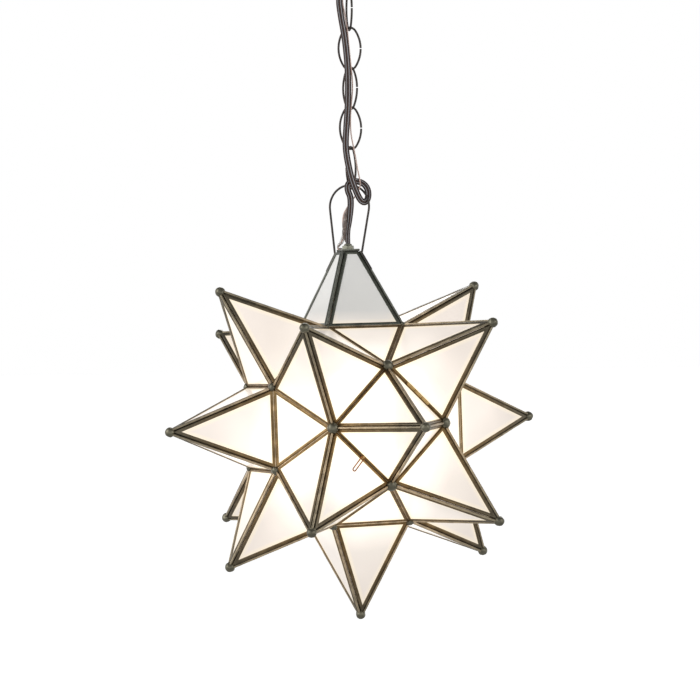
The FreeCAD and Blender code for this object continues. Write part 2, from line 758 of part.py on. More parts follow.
def cord(points, diameter, name):
    """A plain tube along a route; its volume is compared with its section times its length."""
    path = bend_route(points, name)
    solid = wire_solid(path, diameter)
    length = sum((b - a).Length for a, b in zip(path, path[1:]))
    section = WIRE_SIDES / 2 * (diameter / 2) ** 2 * math.sin(2 * math.pi / WIRE_SIDES)
    print(name, "length %.1f, volume over section times length %.4f" % (length, solid.Volume / section / length))
    return solid


def cord_nodes():
    """Both cords in two stretches: down the chain, and from the last link into the star."""
    nodes = {}
    for name, route, cut, diameter in (
        ("power_cord", CORD_ROUTE, CORD_CUT_INDEX, CORD_DIAMETER),
        ("ground_wire", GROUND_ROUTE, GROUND_CUT_INDEX, GROUND_WIRE),
    ):
        points = [Vector(p) for p in route]
        middle = (points[cut] + points[cut + 1]) * 0.5
        nodes[name] = [cord(points[:cut + 1] + [middle], diameter, name)]
        nodes[name + "_tail"] = [cord([middle] + points[cut + 1:], diameter, name + "_tail")]
    return nodes


# ---- star's place ----
BAIL_TURN = STAR_TURN - 45.0
HANG_POINT = Vector(0, 0, link_bottom(LINK_COUNT - 1) + (LINK_WIRE + BAIL_WIRE) / 2 + LINK_GAP)


def star_place():
    """Turns the star, leans it away from where it is held, and hangs it on the last link."""
    heading = Rotation(Vector(0, 0, 1), BAIL_TURN).multVec(Vector(1, 0, 0))
    lean = Rotation(Vector(0, 0, 1).cross(heading), -STAR_LEAN)
    turn = lean.multiply(Rotation(Vector(0, 0, 1), STAR_TURN))
    held = bail_point()
    local = Rotation(Vector(0, 0, 1), -45.0).multVec(held)
    return Placement(HANG_POINT - turn.multVec(local), turn)


# ---- nodes ----
def star_nodes():
    nodes = {}
    rows = {"came_upper": [], "came_middle": [], "came_lower": []}
    for name, signs in POINTS.items():
        panes = point_panes(signs)
        nodes["glass_" + name] = [p[0] for p in panes]
        height = direction_of(signs).z
        row = "came_upper" if height > 0.1 else "came_lower" if height < -0.1 else "came_middle"
        rows[row] += [p[1] for p in panes]
    nodes.update(rows)
    stub = point_panes(STUB_SIGNS, STUB_HEIGHT)
    nodes["glass_top_stub"] = [p[0] for p in stub]
    nodes["came_top_stub"] = [p[1] for p in stub]
    flats = flat_panes()
    nodes["glass_flat_triangles"] = [p[0] for p in flats]
    nodes["came_flat_triangles"] = [p[1] for p in flats]
    nodes["tip_caps"] = [tip_cap(signs) for signs in POINTS.values()]
    nodes["solder_joints"] = [solder_joint(v) for signs in OCTANTS for v in core_vertices(signs)]
    nodes["cap_plate"] = [cap_plate()]
    nodes["stem"] = [tube(STEM_RADIUS, STEM_BORE, NUT_TOP + STEM_RISE, STEM_BOTTOM)]
    nodes["stem_nuts"] = stem_nuts()
    nodes["ground_screw"] = [ground_screw()]
    nodes["holder_cap"] = [holder_cap()]
    nodes["holder_shell"] = [tube(SHELL_OUTER, SHELL_INNER, HOLDER_SEAT, HOLDER_SEAT - HOLDER_SHELL_LENGTH)]
    nodes["holder_insulator"] = [insulator()]
    nodes["holder_screw_shell"] = [tube(SCREW_SHELL_RADIUS, SCREW_SHELL_RADIUS - 0.6, INSULATOR_BOTTOM,
                                        INSULATOR_BOTTOM - SCREW_SHELL_LENGTH)]
    nodes["bulb_base"] = [bulb_base()]
    nodes["bulb_glass"] = [bulb_glass()]
    hoop = bail()
    hoop.rotate(Vector(), Vector(0, 0, 1), -45.0)
    nodes["bail"] = [hoop]
    return nodes


def door_nodes():
    panes = point_panes(DOOR_SIGNS)
    point, along = hinge_axis()
    fixed, moving, pin = knuckles()
    eye, eye_along, _ = pull_axis()
    eyelet = tube(EYELET_RADIUS, PULL_WIRE / 2 + PIN_PLAY, EYELET_LENGTH / 2, -EYELET_LENGTH / 2, SMALL_SIDES)
    return {
        "glass_door": [p[0] for p in panes],
        "came_door": [p[1] for p in panes],
        "door_tip_cap": [tip_cap(DOOR_SIGNS)],
        "door_knuckle": [stand_along(moving, point, along)],
        "star_knuckles": [stand_along(k, point, along) for k in fixed],
        "hinge_pin": [stand_along(pin, point, along)],
        "pull_eyelet": [stand_along(eyelet, eye, eye_along)],
        "pull_loop": [pull_loop()],
    }


def placed(nodes, place):
    for solids in nodes.values():
        for solid in solids:
            solid.Placement = place.multiply(solid.Placement)
    return nodes


def main():
    os.makedirs("parts", exist_ok=True)
    nodes = {
        "canopy_shell": [canopy_shell()],
        "ceiling_crossbar": [crossbar()],
        "canopy_nipple": [canopy_nipple()],
        "canopy_locknuts": locknuts(),
        "collar_loop": [collar_loop()],
    }
    for k in range(LINK_COUNT):
        nodes["chain_link_%d" % (k + 1)] = [chain_link(k)]
    place = star_place()
    nodes.update(placed(star_nodes(), place))
    nodes.update(placed(door_nodes(), place))
    nodes.update(cord_nodes())
    for name, solids in nodes.items():
        shape = solids[0] if len(solids) == 1 else Part.makeCompound(solids)
        shape.exportStep("parts/%s.step" % name)
    print(len(nodes), "nodes")


main()
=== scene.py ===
import json
import math

import bmesh
import bpy
import numpy as np
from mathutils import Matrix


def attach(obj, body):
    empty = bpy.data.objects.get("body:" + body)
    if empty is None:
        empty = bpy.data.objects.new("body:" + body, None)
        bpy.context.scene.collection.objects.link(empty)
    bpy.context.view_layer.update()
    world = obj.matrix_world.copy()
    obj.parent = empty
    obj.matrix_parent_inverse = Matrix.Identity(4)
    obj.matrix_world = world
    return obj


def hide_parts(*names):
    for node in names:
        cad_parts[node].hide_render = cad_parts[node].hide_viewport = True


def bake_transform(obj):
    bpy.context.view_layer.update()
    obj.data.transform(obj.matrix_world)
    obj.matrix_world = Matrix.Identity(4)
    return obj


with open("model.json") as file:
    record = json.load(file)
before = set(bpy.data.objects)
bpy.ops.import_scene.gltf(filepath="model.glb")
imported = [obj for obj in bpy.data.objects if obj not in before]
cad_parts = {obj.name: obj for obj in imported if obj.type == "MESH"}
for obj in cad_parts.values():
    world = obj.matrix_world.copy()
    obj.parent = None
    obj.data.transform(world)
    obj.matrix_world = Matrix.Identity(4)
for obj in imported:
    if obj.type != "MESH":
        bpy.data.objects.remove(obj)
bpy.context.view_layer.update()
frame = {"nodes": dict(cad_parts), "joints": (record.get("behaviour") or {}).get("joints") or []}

# The looks of a glass star lamp on a chain. Metres in the shared frame; the shapes of the star and its
# fittings are worked out in millimetres about their own axes and then put in place.

bl_info = {
    "name": "Glass star pendant",
    "version": (1, 0, 0),
    "blender": (4, 5, 0),
    "location": "3D View > Sidebar > Star",
    "description": "Finishes a leaded glass star lamp, its chain and its cords around the packed frame",
    "category": "Object",
}

MM = 0.001

# ---- the star, in millimetres and degrees, as the source has it ----
SIDE = 74.0
POINT_HEIGHT = 89.2
STUB_SIDE = 15.35
STUB_HEIGHT = POINT_HEIGHT * (1 - STUB_SIDE / SIDE)
STAR_TURN = 20.2
STAR_LEAN = 1.4
SQUARE_TO_SQUARE, SQUARE_TO_TRIANGLE = 135.0, 144.736  # between neighbouring faces of the body
GLASS_THICKNESS = 2.2
GLASS_INSET = 0.9
CHANNEL_DEPTH = 3.6
CHANNEL_FACE = 3.2
CHANNEL_BEVEL = 0.6
SEAM = 0.05
BEAD_RADIUS, BEAD_LIFT = 1.05, 0.95
CORE = SIDE * (1 + math.sqrt(2)) / 2
TIP = CORE + POINT_HEIGHT
STUB_TOP = CORE + STUB_HEIGHT

# ---- the bail, the stem, the lamp and the ceiling fitting, in millimetres and degrees ----
BAIL_TURN = -45.0
BAIL_RADIUS = 19.95
BAIL_CENTRE = np.array([2.7, 0, STUB_TOP + 61.0 - BAIL_RADIUS])
BAIL_KINK, BAIL_FOOT = STUB_TOP - 2.0, STUB_TOP - 17.5
BAIL_OFF_RIDGE = 1.7
HANG_SHIFT, HANG_HEIGHT = 5.35, -227.4
PLATE_SIDE, PLATE_CORNER, PLATE_TOP = STUB_SIDE + 0.8, 3.0, STUB_TOP + 1.2
GROUND_SCREW_OUT = STUB_SIDE / 2 - 1.975
NUT_FLATS, NUT_BORE = STUB_SIDE - 5.35, 3.85
UPPER_NUT, LOWER_NUT = 4.2, 2.94
STEM_RADIUS, STEM_BORE = 3.8, 3.1
STEM_TOP, STEM_FOOT = PLATE_TOP + UPPER_NUT + 1.4, STUB_TOP - 46.0
LAMP_HEIGHT = -14.0
HOLDER_TOP = STUB_TOP - 42.0
HOLDER_SEAT = HOLDER_TOP - 9.9
SOCKET_TOP = HOLDER_SEAT - 7.1
BASE_TOP, BASE_HEIGHT, BASE_PITCH = SOCKET_TOP - 0.1, 24.0, 3.6
BULB_LENGTH = 84
CANOPY_RADIUS, CANOPY_DEPTH, CANOPY_WALL, CANOPY_BORE = 63.5, 24.0, 1.2, 4.9
LOOP_RADIUS, LOOP_MIDDLE = 7.7, -40.0

# ---- the door's hinge and its pull, in millimetres ----
ROLL_RADIUS, ROLL_PITCH = 1.5, 9.3
EYE_RADIUS, EYE_RISE = 1.35, CHANNEL_DEPTH / 2 + 2.15
PULL_WIRE, PULL_REACH = 0.55, 16.0

# ---- the chain ----
CHAIN_JOINTS = [joint["pos_m"] for joint in frame["joints"]
                if joint["name"].startswith("link") or joint["name"] == "star_swing"]
LINK_MIDDLES = [(a[2] + b[2]) / 2 for a, b in zip(CHAIN_JOINTS, CHAIN_JOINTS[1:])]
LINK_TURNS = (-76.0, 0.0, -51.0, 15.5, STAR_TURN - BAIL_TURN)
LINK_SEAM_SIDES = (1, 1, 1, 1, -1)

# ---- heights on the cords, in metres: the first and last bend, the narrowing, the fraying ----
SLIM_FROM, SLIM_OVER = -0.247, 0.02
STRANDS_FROM = -0.263

# ---- the routes of both cords and of the split sleeve, given in tenths of a millimetre ----
CORD_ROUTE = np.array([
    (-8, 0, -230), (-8, 0, -335), (-18, -60, -430), (-98, -76, -541), (-77, -65, -727),
    (-45, -49, -903), (-24, -44, -1107), (-16, -44, -1293), (-20, -45, -1525), (-37, -52, -1738),
    (-49, -86, -1896), (-39, -126, -2012), (-20, -142, -2119), (2, -144, -2216), (32, -132, -2309),
    (65, -99, -2386), (94, -69, -2430), (132, -43, -2437), (157, -23, -2390), (156, -12, -2323),
    (129, -8, -2273), (85, -6, -2245), (37, -34, -2238), (0, -84, -2247), (-34, -106, -2273),
    (-33, -104, -2332), (-8, -80, -2383), (-6, -52, -2471), (-20, -10, -2610), (-39, 18, -2706),
    (-36, 17, -2846), (-28, 17, -2986), (-30, 14, -3121), (-24, 17, -3258), (-24, 11, -3394)
]) / 10000
GROUND_ROUTE = np.array([
    (24, 0, -230), (24, 0, -335), (16, -74, -430), (-71, -46, -550), (-39, -38, -708),
    (-19, -34, -838), (-6, -22, -996), (10, -47, -1174), (22, -34, -1293), (23, -28, -1413),
    (7, -46, -1553), (-1, -32, -1673), (2, -30, -1812), (28, -32, -1933), (46, -22, -2035),
    (61, -20, -2137), (78, -42, -2216), (86, -64, -2276), (69, -76, -2326), (33, -46, -2382),
    (-5, -24, -2432), (-43, -34, -2484), (-77, -32, -2545), (-84, -18, -2620), (-76, -6, -2694),
    (-81, 10, -2764), (-100, 24, -2807), (-123, 32, -2829), (-135, 29, -2854), (-122, 31, -2865.5),
    (-97, 31, -2865.5)
]) / 10000
SLEEVE_ROUTE = np.array([
    (-30, -34, -2470), (-56, -30, -2545), (-65, -16, -2625), (-69, -4, -2695), (-65, 6, -2745),
    (-60, 10, -2790)
]) / 10000

# ---- how far the painted lamp light reaches over glass and brass, in metres from the lamp ----
GLOW_FROM, GLOW_TO = 0.072, 0.182
HOLDER_SHADE_FROM, HOLDER_SHADE_TO = 0.046, 0.056
# The channels' painted lamp light: full at the first distance, gone at the second.
CAME_GLOW_FROM, CAME_GLOW_TO = 0.095, 0.168

# ---- the camera and the lights, in metres, degrees and watts: each light's spot, width and power ----
CAMERA_DISTANCE, CAMERA_RISE, CAMERA_ROLL = 2.164, 2.24, -0.7
CAMERA_LENS, CAMERA_SENSOR, CAMERA_SHIFT = 119.9, 36.0, (-0.006, 0.1057)
FLOOR_RADIUS, FLOOR_HEIGHT = 120, -2.4
LIGHTS = {
    "key_light": ((-2.3, -0.9, 0.6), 2.2, 30.0),
    "fill_light": ((1.9, -1.4, 0.3), 1.4, 9.0),
    "back_light": ((0.3, 2.0, 0.8), 1.4, 14.0),
}


# ---- small helpers on arrays ----
def unit(rows):
    """Each vector divided by its own length."""
    rows = np.asarray(rows, float)
    return rows / np.linalg.norm(rows, axis=-1, keepdims=True)


def turn_about(axis, degrees):
    """The matrix that turns about an axis: I + sin a K + (1 - cos a) K K, K the axis's cross matrix."""
    x, y, z = unit(axis)
    k = np.array([[0, -z, y], [z, 0, -x], [-y, x, 0]])
    a = math.radians(degrees)
    return np.eye(3) + math.sin(a) * k + (1 - math.cos(a)) * k @ k


def turn_z(degrees):
    """The matrix that turns about the Z axis."""
    return turn_about((0, 0, 1), degrees)


def to_direction(direction):
    """A matrix whose third column is the direction and whose first two are square to it."""
    z = unit(direction)
    x = unit(np.cross([0, 1, 0] if abs(z[1]) < 0.9 else [1, 0, 0], z))
    return np.stack([x, np.cross(z, x), z], axis=1)


def star_frame():
    """(origin, turn) of the star: turned, leaning, and hung so that its bail meets the last link."""
    heading = turn_z(STAR_TURN + BAIL_TURN) @ (1, 0, 0)
    lean = turn_about(np.cross((0, 0, 1), heading), -STAR_LEAN)
    turn = lean @ turn_z(STAR_TURN)
    off = HANG_SHIFT - BAIL_CENTRE[0]
    held = turn_z(BAIL_TURN) @ (HANG_SHIFT, 0, BAIL_CENTRE[2] + math.sqrt(BAIL_RADIUS**2 - off**2))
    return np.array([0, 0, HANG_HEIGHT]) - turn @ held, turn


STAR_ORIGIN, STAR_MATRIX = star_frame()


def in_star(points):
    """Points about the star's axes, in millimetres, put in the shared frame in metres."""
    return (np.asarray(points) @ STAR_MATRIX.T + STAR_ORIGIN) * MM


LAMP = tuple(in_star([0, 0, LAMP_HEIGHT]))


def add(name, data):
    """A new object of the scene, with its mesh, light or camera."""
    piece = bpy.data.objects.new(name, data)
    bpy.context.scene.collection.objects.link(piece)
    return piece


def listed(grids):
    """The grids as a list, whether one was given or several."""
    return [grids] if isinstance(grids, np.ndarray) else grids


def quads(rows, columns, loop):
    """The corners of a grid's cells. Its columns close on themselves, and so do its rows where loop is
    true."""
    r = np.arange(rows if loop else rows - 1)[:, None]
    c = np.arange(columns)[None, :]
    next_r, next_c = (r + 1) % rows, (c + 1) % columns
    corners = [r * columns + c, r * columns + next_c, next_r * columns + next_c, next_r * columns + c]
    return np.stack(corners, -1).reshape(-1, 4)


def surface(name, grids, finish, body=None, node=None, slot=None, loop=False, values=None, sharp=35):
    """One mesh from grids of points (..., rows, columns, 3), whose rows may shrink to a point and become
    poles. It carries the values at its points, and is sharp where it bends by more than the angle."""
    places, faces, start = [], [], 0
    for grid in listed(grids):
        rows, columns = grid.shape[-3:-1]
        batch = grid.reshape(-1, rows * columns, 3)
        firsts = start + np.arange(len(batch)) * rows * columns
        faces.append((quads(rows, columns, loop) + firsts[:, None, None]).reshape(-1, 4))
        places.append(batch.reshape(-1, 3))
        start += len(batch) * rows * columns
    mesh = bpy.data.meshes.new(name)
    mesh.from_pydata(np.concatenate(places), [], np.concatenate(faces).tolist())
    for key, given in (values or {}).items():
        mesh.attributes.new(key, "FLOAT", "POINT").data.foreach_set("value", given.ravel().astype(np.float32))
    work = bmesh.new()
    work.from_mesh(mesh)
    bmesh.ops.remove_doubles(work, verts=work.verts, dist=2e-6)
    bmesh.ops.recalc_face_normals(work, faces=work.faces)
    work.to_mesh(mesh)
    work.free()
    mesh.shade_smooth()
    mesh.set_sharp_from_angle(angle=math.radians(sharp))
    mesh.materials.append(finishes()[finish])
    piece = add(name, mesh)
    if body:
        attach(piece, body)
    if node:
        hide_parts(node)
    return piece


def star_piece(name, grids, finish, node, slot, body="star", **more):
    """A surface whose grids are in millimetres about the star's axes."""
    surface(name, [in_star(grid) for grid in listed(grids)], finish, body, node, slot, **more)


def ceiling_piece(name, grids, finish, node, slot, **more):
    """A surface of the ceiling fitting, whose grids are in millimetres about the ceiling point."""
    surface(name, [grid * MM for grid in listed(grids)], finish, "ceiling_mount", node, slot, **more)


# ---- shapes that more than one piece uses ----
def round_steps(sides):
    """Even steps round a circle, in radians."""
    return np.arange(sides) * 2 * np.pi / sides


def about_z(r, t, z):
    """Points (r cos t, r sin t, z), at the radius r, the angle t and the height z about the Z axis."""
    return np.stack([r * np.cos(t), r * np.sin(t), z + 0 * t], -1)


def ring(radius, sides):
    """A round section: (cos, sin) of even steps, times the radius."""
    t = round_steps(sides)
    return radius * np.stack([np.cos(t), np.sin(t)], -1)


def sweep(path, section, facing, loop=False, end=0.0):
    """A section carried along a path: at each point the side is along x facing and the up is side x
    along, and the section's two numbers go along them. end rounds off both ends by that length."""
    path = np.asarray(path, float)
    if loop:
        along = unit(np.roll(path, -1, 0) - np.roll(path, 1, 0))
    else:
        along = unit(np.gradient(path, axis=0))
    side = unit(np.cross(along, np.broadcast_to(facing, path.shape)))
    up = np.cross(side, along)
    section = np.broadcast_to(section, (len(path),) + np.shape(section)[-2:])
    rows = path[:, None] + side[:, None] * section[..., :1] + up[:, None] * section[..., 1:]
    if loop:
        return rows
    swell = np.array([90, 60, 30])[:, None, None] * np.pi / 180
    head = path[0] - along[0] * end * np.sin(swell) + (rows[0] - path[0]) * np.cos(swell)
    tail = path[-1] + along[-1] * end * np.sin(swell[::-1]) + (rows[-1] - path[-1]) * np.cos(swell[::-1])
    return np.concatenate([head, rows, tail])


def turned(profile, sides=48):
    """A turned shape: each (radius, height) of the profile goes round the Z axis."""
    profile = np.asarray(profile, float)
    return about_z(profile[:, :1], round_steps(sides), profile[:, 1:])


def threaded(radius, bore, top, bottom, pitch, depth, sides=36):
    """A tube with a screw thread: r = radius - depth (1 - cos(2 pi z / pitch - t)) / 2 outside, and the
    bore's radius inside; t is the angle round the Z axis. Over the turn at each end the thread sinks
    to its own root."""
    z = np.linspace(bottom, top, int((top - bottom) / pitch * 8))[:, None]
    t = round_steps(sides)
    fade = np.clip(np.minimum(z - bottom, top - z) / pitch, 0, 1)
    cut = (1 - np.cos(2 * np.pi * z / pitch - t)) / 2
    outside = about_z(radius - depth * (1 + (cut - 1) * fade), t, z)
    return np.concatenate([outside, turned([(bore, top), (bore, bottom)], sides)])


def hex_nut(flats, bore, bottom, height, sides=96):
    """A six-sided nut: r = (flats / 2) / cos(t mod 60 - 30) for t round the axis, but no more than the
    cone of the chamfer on its upper and lower edge, 0.97 flats / 2 + 1.7 times the way in from the face."""
    t = round_steps(sides)
    hexagon = flats / 2 / np.cos(np.mod(t, np.pi / 3) - np.pi / 6)
    shares = np.array([0, 0.0, 0.04, 0.1, 0.2, 0.35, 0.65, 0.8, 0.9, 0.96, 1.0, 1.0, 0.9, 0.1])[:, None]
    deep = np.minimum(shares, 1 - shares) * height
    r = np.minimum(hexagon, flats / 2 * 0.97 + 1.7 * deep)
    r[[0, -3]] = bore + 0.25
    r[[-2, -1]] = bore
    return about_z(r, t, bottom + shares * height)


def rounded(points, radius, steps=4):
    """A closed outline with its corners rounded: each corner c becomes the curve
    (1-t)^2 p + 2t(1-t) c + t^2 q between p and q, that far from c towards its neighbours."""
    points = np.asarray(points, float)
    radius = np.broadcast_to(radius, len(points))[:, None]
    back = np.roll(points, 1, 0) - points
    ahead = np.roll(points, -1, 0) - points
    p = points + unit(back) * np.minimum(radius, np.linalg.norm(back, axis=1, keepdims=True) * 0.45)
    q = points + unit(ahead) * np.minimum(radius, np.linalg.norm(ahead, axis=1, keepdims=True) * 0.45)
    t = np.linspace(0, 1, steps)[None, :, None]
    return ((1 - t) ** 2 * p[:, None] + 2 * t * (1 - t) * points[:, None] + t**2 * q[:, None]).reshape(-1, 2)


def waves(points, pitch, seed):
    """A smooth uneven value from -1 to 1 at each point: the mean of sines of it along five fixed ways."""
    ways = unit(np.random.default_rng(seed).normal(size=(5, 3)))
    lengths = pitch * np.array([1.0, 0.7, 1.3, 0.5, 0.85])
    return np.sin(points @ ways.T * (2 * np.pi / lengths) + np.arange(5)).mean(-1)


# ---- finishes ----
class Finish:
    """A new material, or the world, with its shader and short calls for the nodes that feed it."""

    def __init__(self, owner, shader="Principled BSDF", **sockets):
        self.owner = bpy.data.materials.new(owner) if isinstance(owner, str) else owner
        self.owner.use_nodes = True
        self.tree = self.owner.node_tree
        self.shader = self.tree.nodes[shader]
        self.coordinates = self.node("TexCoord").outputs
        self.place = self.coordinates["Object"]
        self.set(**sockets)

    def feed(self, socket, value):
        """Links another node to a socket, or sets the socket's own value."""
        if isinstance(value, bpy.types.NodeSocket):
            self.tree.links.new(value, socket)
        elif isinstance(value, tuple) and len(value) == 3 and len(socket.default_value) == 4:
            socket.default_value = value + (1.0,)
        else:
            socket.default_value = value

    def set(self, **sockets):
        """Feeds the shader's sockets, each named with _ for a space."""
        for socket, value in sockets.items():
            self.feed(self.shader.inputs[socket.replace("_", " ")], value)

    def node(self, kind, inputs=(), **settings):
        """A new node, with its inputs fed in their order and None for one that is left alone."""
        made = self.tree.nodes.new("ShaderNode" + kind)
        for key, value in settings.items():
            setattr(made, key, value)
        for index, value in enumerate(inputs):
            if value is not None:
                self.feed(made.inputs[index], value)
        return made

    def noise(self, scale, detail=3.0, rough=0.5, stretch=None):
        """Clouds of a noise over the piece."""
        place = self.place
        if stretch:
            place = self.node("Mapping", [place, None, None, stretch]).outputs[0]
        return self.node("TexNoise", [place, None, scale, detail, rough]).outputs["Fac"]

    def attribute(self, name):
        """A value that the mesh carries at its points."""
        return self.node("Attribute", attribute_name=name).outputs["Fac"]

    def distance(self, point, scale=(1, 1, 1)):
        """How far each place is from a point, once each axis is scaled."""
        way = self.node("VectorMath", [self.place, point], operation="SUBTRACT").outputs[0]
        scaled = self.node("VectorMath", [way, scale], operation="MULTIPLY").outputs[0]
        return self.node("VectorMath", [scaled], operation="LENGTH").outputs["Value"]

    def span(self, value, low, high, first=0.0, last=1.0):
        """The value from low to high as one from first to last."""
        return self.node("MapRange", [value, low, high, first, last]).outputs[0]

    def maths(self, operation, one, two):
        """Two values put together."""
        return self.node("Math", [one, two], operation=operation).outputs[0]

    def ramp(self, value, *stops):
        """A colour for each value, from stops of a place and a colour or a grey."""
        made = self.node("ValToRGB", [value])
        marks = made.color_ramp.elements
        while len(marks) < len(stops):
            marks.new(0.5)
        for mark, (at, colour) in zip(marks, stops):
            mark.position = at
            mark.color = (colour if isinstance(colour, tuple) else (colour,) * 3) + (1.0,)
        return made.outputs["Color"]

    def blend(self, share, one, two):
        """One colour passing into another by a share."""
        return self.node("MixRGB", [share, one, two]).outputs[0]

    def bump(self, height, depth, strength):
        """Dents and bosses of the surface, as deep as the height says."""
        made = self.node("Bump")
        made.inputs["Strength"].default_value = strength
        made.inputs["Distance"].default_value = depth
        self.feed(made.inputs["Height"], height)
        self.set(Normal=made.outputs[0])


def chosen(name):
    """A colour as the user chose it."""
    return tuple(getattr(bpy.context.scene.pendant_colours, name))


def shade(colour, share):
    """A colour made darker or lighter by a share."""
    return tuple(c * share for c in colour)


def worn_metal(name, dark, light, rough, fine=900.0, metallic=0.85):
    """Patinated metal: a mottle of a dark and a lighter tone, uneven roughness and a fine dimpled skin."""
    made = Finish(name, Metallic=metallic)
    made.set(Base_Color=made.ramp(made.noise(fine * 0.12, 5.0, 0.6), (0.34, dark), (0.72, light)))
    made.set(Roughness=made.span(made.noise(fine * 0.5, 4.0), 0.3, 0.7, *rough))
    made.bump(made.noise(fine, 5.0, 0.6), 0.00006, 0.7)


def came_metal(name, tone, warm, metallic=0.85):
    """Patinated brass of the channels, dull and dark at the tips; painted lamp light warms it near the lamp.
    """
    made = Finish(name, Metallic=metallic)
    # Painted lamp light: near the lamp the mottled tone passes into the warmer, brighter lamp-lit one.
    near = made.span(made.distance(LAMP), CAME_GLOW_FROM, CAME_GLOW_TO, 1.0, 0.0)
    mottle = made.noise(110.0, 5.0, 0.6)
    cool = made.ramp(mottle, (0.34, shade(tone, 0.75)), (0.72, shade(tone, 1.45)))
    painted_glow_tone = made.ramp(mottle, (0.34, shade(warm, 0.7)), (0.72, shade(warm, 1.5)))
    made.set(Base_Color=made.blend(near, cool, painted_glow_tone))
    made.set(Roughness=made.span(made.noise(450.0, 4.0), 0.3, 0.7, 0.24, 0.45))
    made.bump(made.noise(900.0, 5.0, 0.6), 0.00006, 0.7)


def milk_glass():
    """White glass with a painted glow, an emission that stands for the lamp's light through it. The glow
    falls off with the distance from the lamp, is stronger where light leaks along the channels and a little
    weaker low down, and ends above the lamp holder, where painted shade leaves the glass grey. Panes in the
    glow take a darker, warmer lit copy of the white. Over it lie faint clouding and the ripple of a rolled
    sheet."""
    made = Finish("milk_glass", Roughness=0.2, IOR=1.5, Coat_Weight=0.25, Coat_Roughness=0.1)
    white, warm = chosen("glass"), chosen("lamp_lit_glass")
    cloud = made.noise(14.0)
    # Painted light: a lit copy of the white for the panes in the glow, and the plain white for the shaded
    # ones.
    unlit_white = made.ramp(cloud, (0.3, shade(white, 0.95)), (0.7, white))
    lit_white = made.ramp(cloud, (0.3, shade(warm, 0.93)), (0.7, warm))

    middle, core_top = STAR_ORIGIN[2] * MM, (STAR_ORIGIN[2] + CORE) * MM
    height = made.node("SeparateXYZ", [made.place]).outputs["Z"]
    # Painted shade of the lamp holder: above its top and near the star's upright axis the glass gets no glow.
    below_holder = made.span(height, core_top - 0.004, core_top + 0.016, 1.0, 0.0)
    beside_holder = made.span(made.distance(LAMP, (1, 1, 0)), HOLDER_SHADE_FROM, HOLDER_SHADE_TO)
    lit = made.maths("MAXIMUM", below_holder, beside_holder)

    # Painted lamp light: the glow by distance from the lamp, uneven, brighter at the channels and weaker low
    # down.
    far = made.span(made.distance(LAMP, (1, 0.64, 1)), GLOW_FROM, GLOW_TO)
    reach = made.ramp(far, (0.0, 1.0), (0.16, 0.84), (0.3, 0.62), (0.6, 0.48), (1.0, 0.43))
    uneven = made.span(made.noise(11.0, 2.0), 0.35, 0.65, 0.86, 1.14)
    rim = made.span(made.attribute("from_edge"), 2.0, 6.5, 1.0, 0.0)
    low = made.span(height, middle - 0.13, middle + 0.01, 0.84, 1.0)
    glow = made.maths("ADD", made.maths("MULTIPLY", reach, uneven), made.maths("MULTIPLY", rim, 0.16))
    glow = made.maths("MULTIPLY", made.maths("MULTIPLY", glow, lit), low)
    tint = made.ramp(far, (0.0, (1.0, 0.96, 0.88)), (0.25, (1.0, 0.92, 0.84)), (0.5, chosen("glow")),
                     (1.0, (1.0, 0.87, 0.8)))
    made.set(Base_Color=made.blend(lit, unlit_white, lit_white), Emission_Strength=glow,
             Emission_Color=made.blend(rim, tint, (1.0, 0.84, 0.56)))
    made.bump(made.noise(55.0, 2.0), 0.0002, 0.3)


def twin_cord_jacket():
    """Clear brown jacket of a flat twin cord: dark conductors, each with a painted highlight band along its
    middle, and a paler web and edges, read from how far across the section a point is."""
    made = Finish("twin_cord_jacket", Roughness=0.26, Specular_IOR_Level=0.12, Coat_Weight=0.05,
                  Coat_Roughness=0.08)
    dark, edge, strand = chosen("cord"), chosen("cord_edge"), chosen("cord_highlight")
    # Painted highlight: a bright band along the middle of each conductor.
    bands = made.ramp(made.attribute("across"), (0.0, edge), (0.12, dark), (0.22, dark), (0.27, strand),
                      (0.33, strand), (0.38, dark), (0.45, dark), (0.5, edge), (0.56, dark), (0.66, dark),
                      (0.71, strand), (0.75, strand), (0.8, dark), (0.9, dark), (1.0, edge))
    made.set(Base_Color=made.blend(0.12, bands, made.ramp(made.noise(260.0), (0.35, 0.01), (0.7, 0.1))))
    made.bump(made.noise(900.0), 0.00004, 0.5)


def ground_sleeve():
    """Clear plastic over a bare copper strand."""
    made = Finish("ground_sleeve", Roughness=0.22, Coat_Weight=0.7, Coat_Roughness=0.1)
    copper = chosen("ground")
    twist = made.noise(1500.0, 2.0, 0.4, (1, 1, 0.25))
    made.set(Base_Color=made.ramp(twist, (0.35, shade(copper, 0.7)), (0.65, copper)))
    made.bump(twist, 0.00003, 0.4)


def smoky_jacket():
    """The clear sleeve split off round the ground wire, brown with age."""
    made = Finish("smoky_jacket", Roughness=0.3, Coat_Weight=0.3, Coat_Roughness=0.12)
    made.set(Base_Color=made.ramp(made.noise(420.0, 4.0, 0.6), (0.32, (0.04, 0.028, 0.022)),
                                  (0.55, (0.13, 0.09, 0.075)), (0.72, (0.34, 0.31, 0.28))))
    made.bump(made.noise(600.0), 0.00008, 0.6)


def glazed_insulator():
    """Cream porcelain with a soft glaze."""
    made = Finish("glazed_insulator", Roughness=0.25, Coat_Weight=0.4)
    cloud = made.noise(220.0, 4.0)
    made.set(Base_Color=made.ramp(cloud, (0.4, (0.66, 0.63, 0.56)), (0.6, (0.8, 0.78, 0.72))))
    made.bump(made.noise(500.0), 0.00004, 0.3)


def bulb_frosting():
    """Frosted bulb glass, lit."""
    made = Finish("bulb_frosting", Roughness=0.5, Emission_Color=chosen("glow"), Emission_Strength=1.6)
    made.set(Base_Color=made.ramp(made.noise(300.0), (0.4, (0.86, 0.83, 0.76)), (0.6, (0.95, 0.93, 0.88))))
    made.bump(made.noise(1400.0), 0.00002, 0.4)


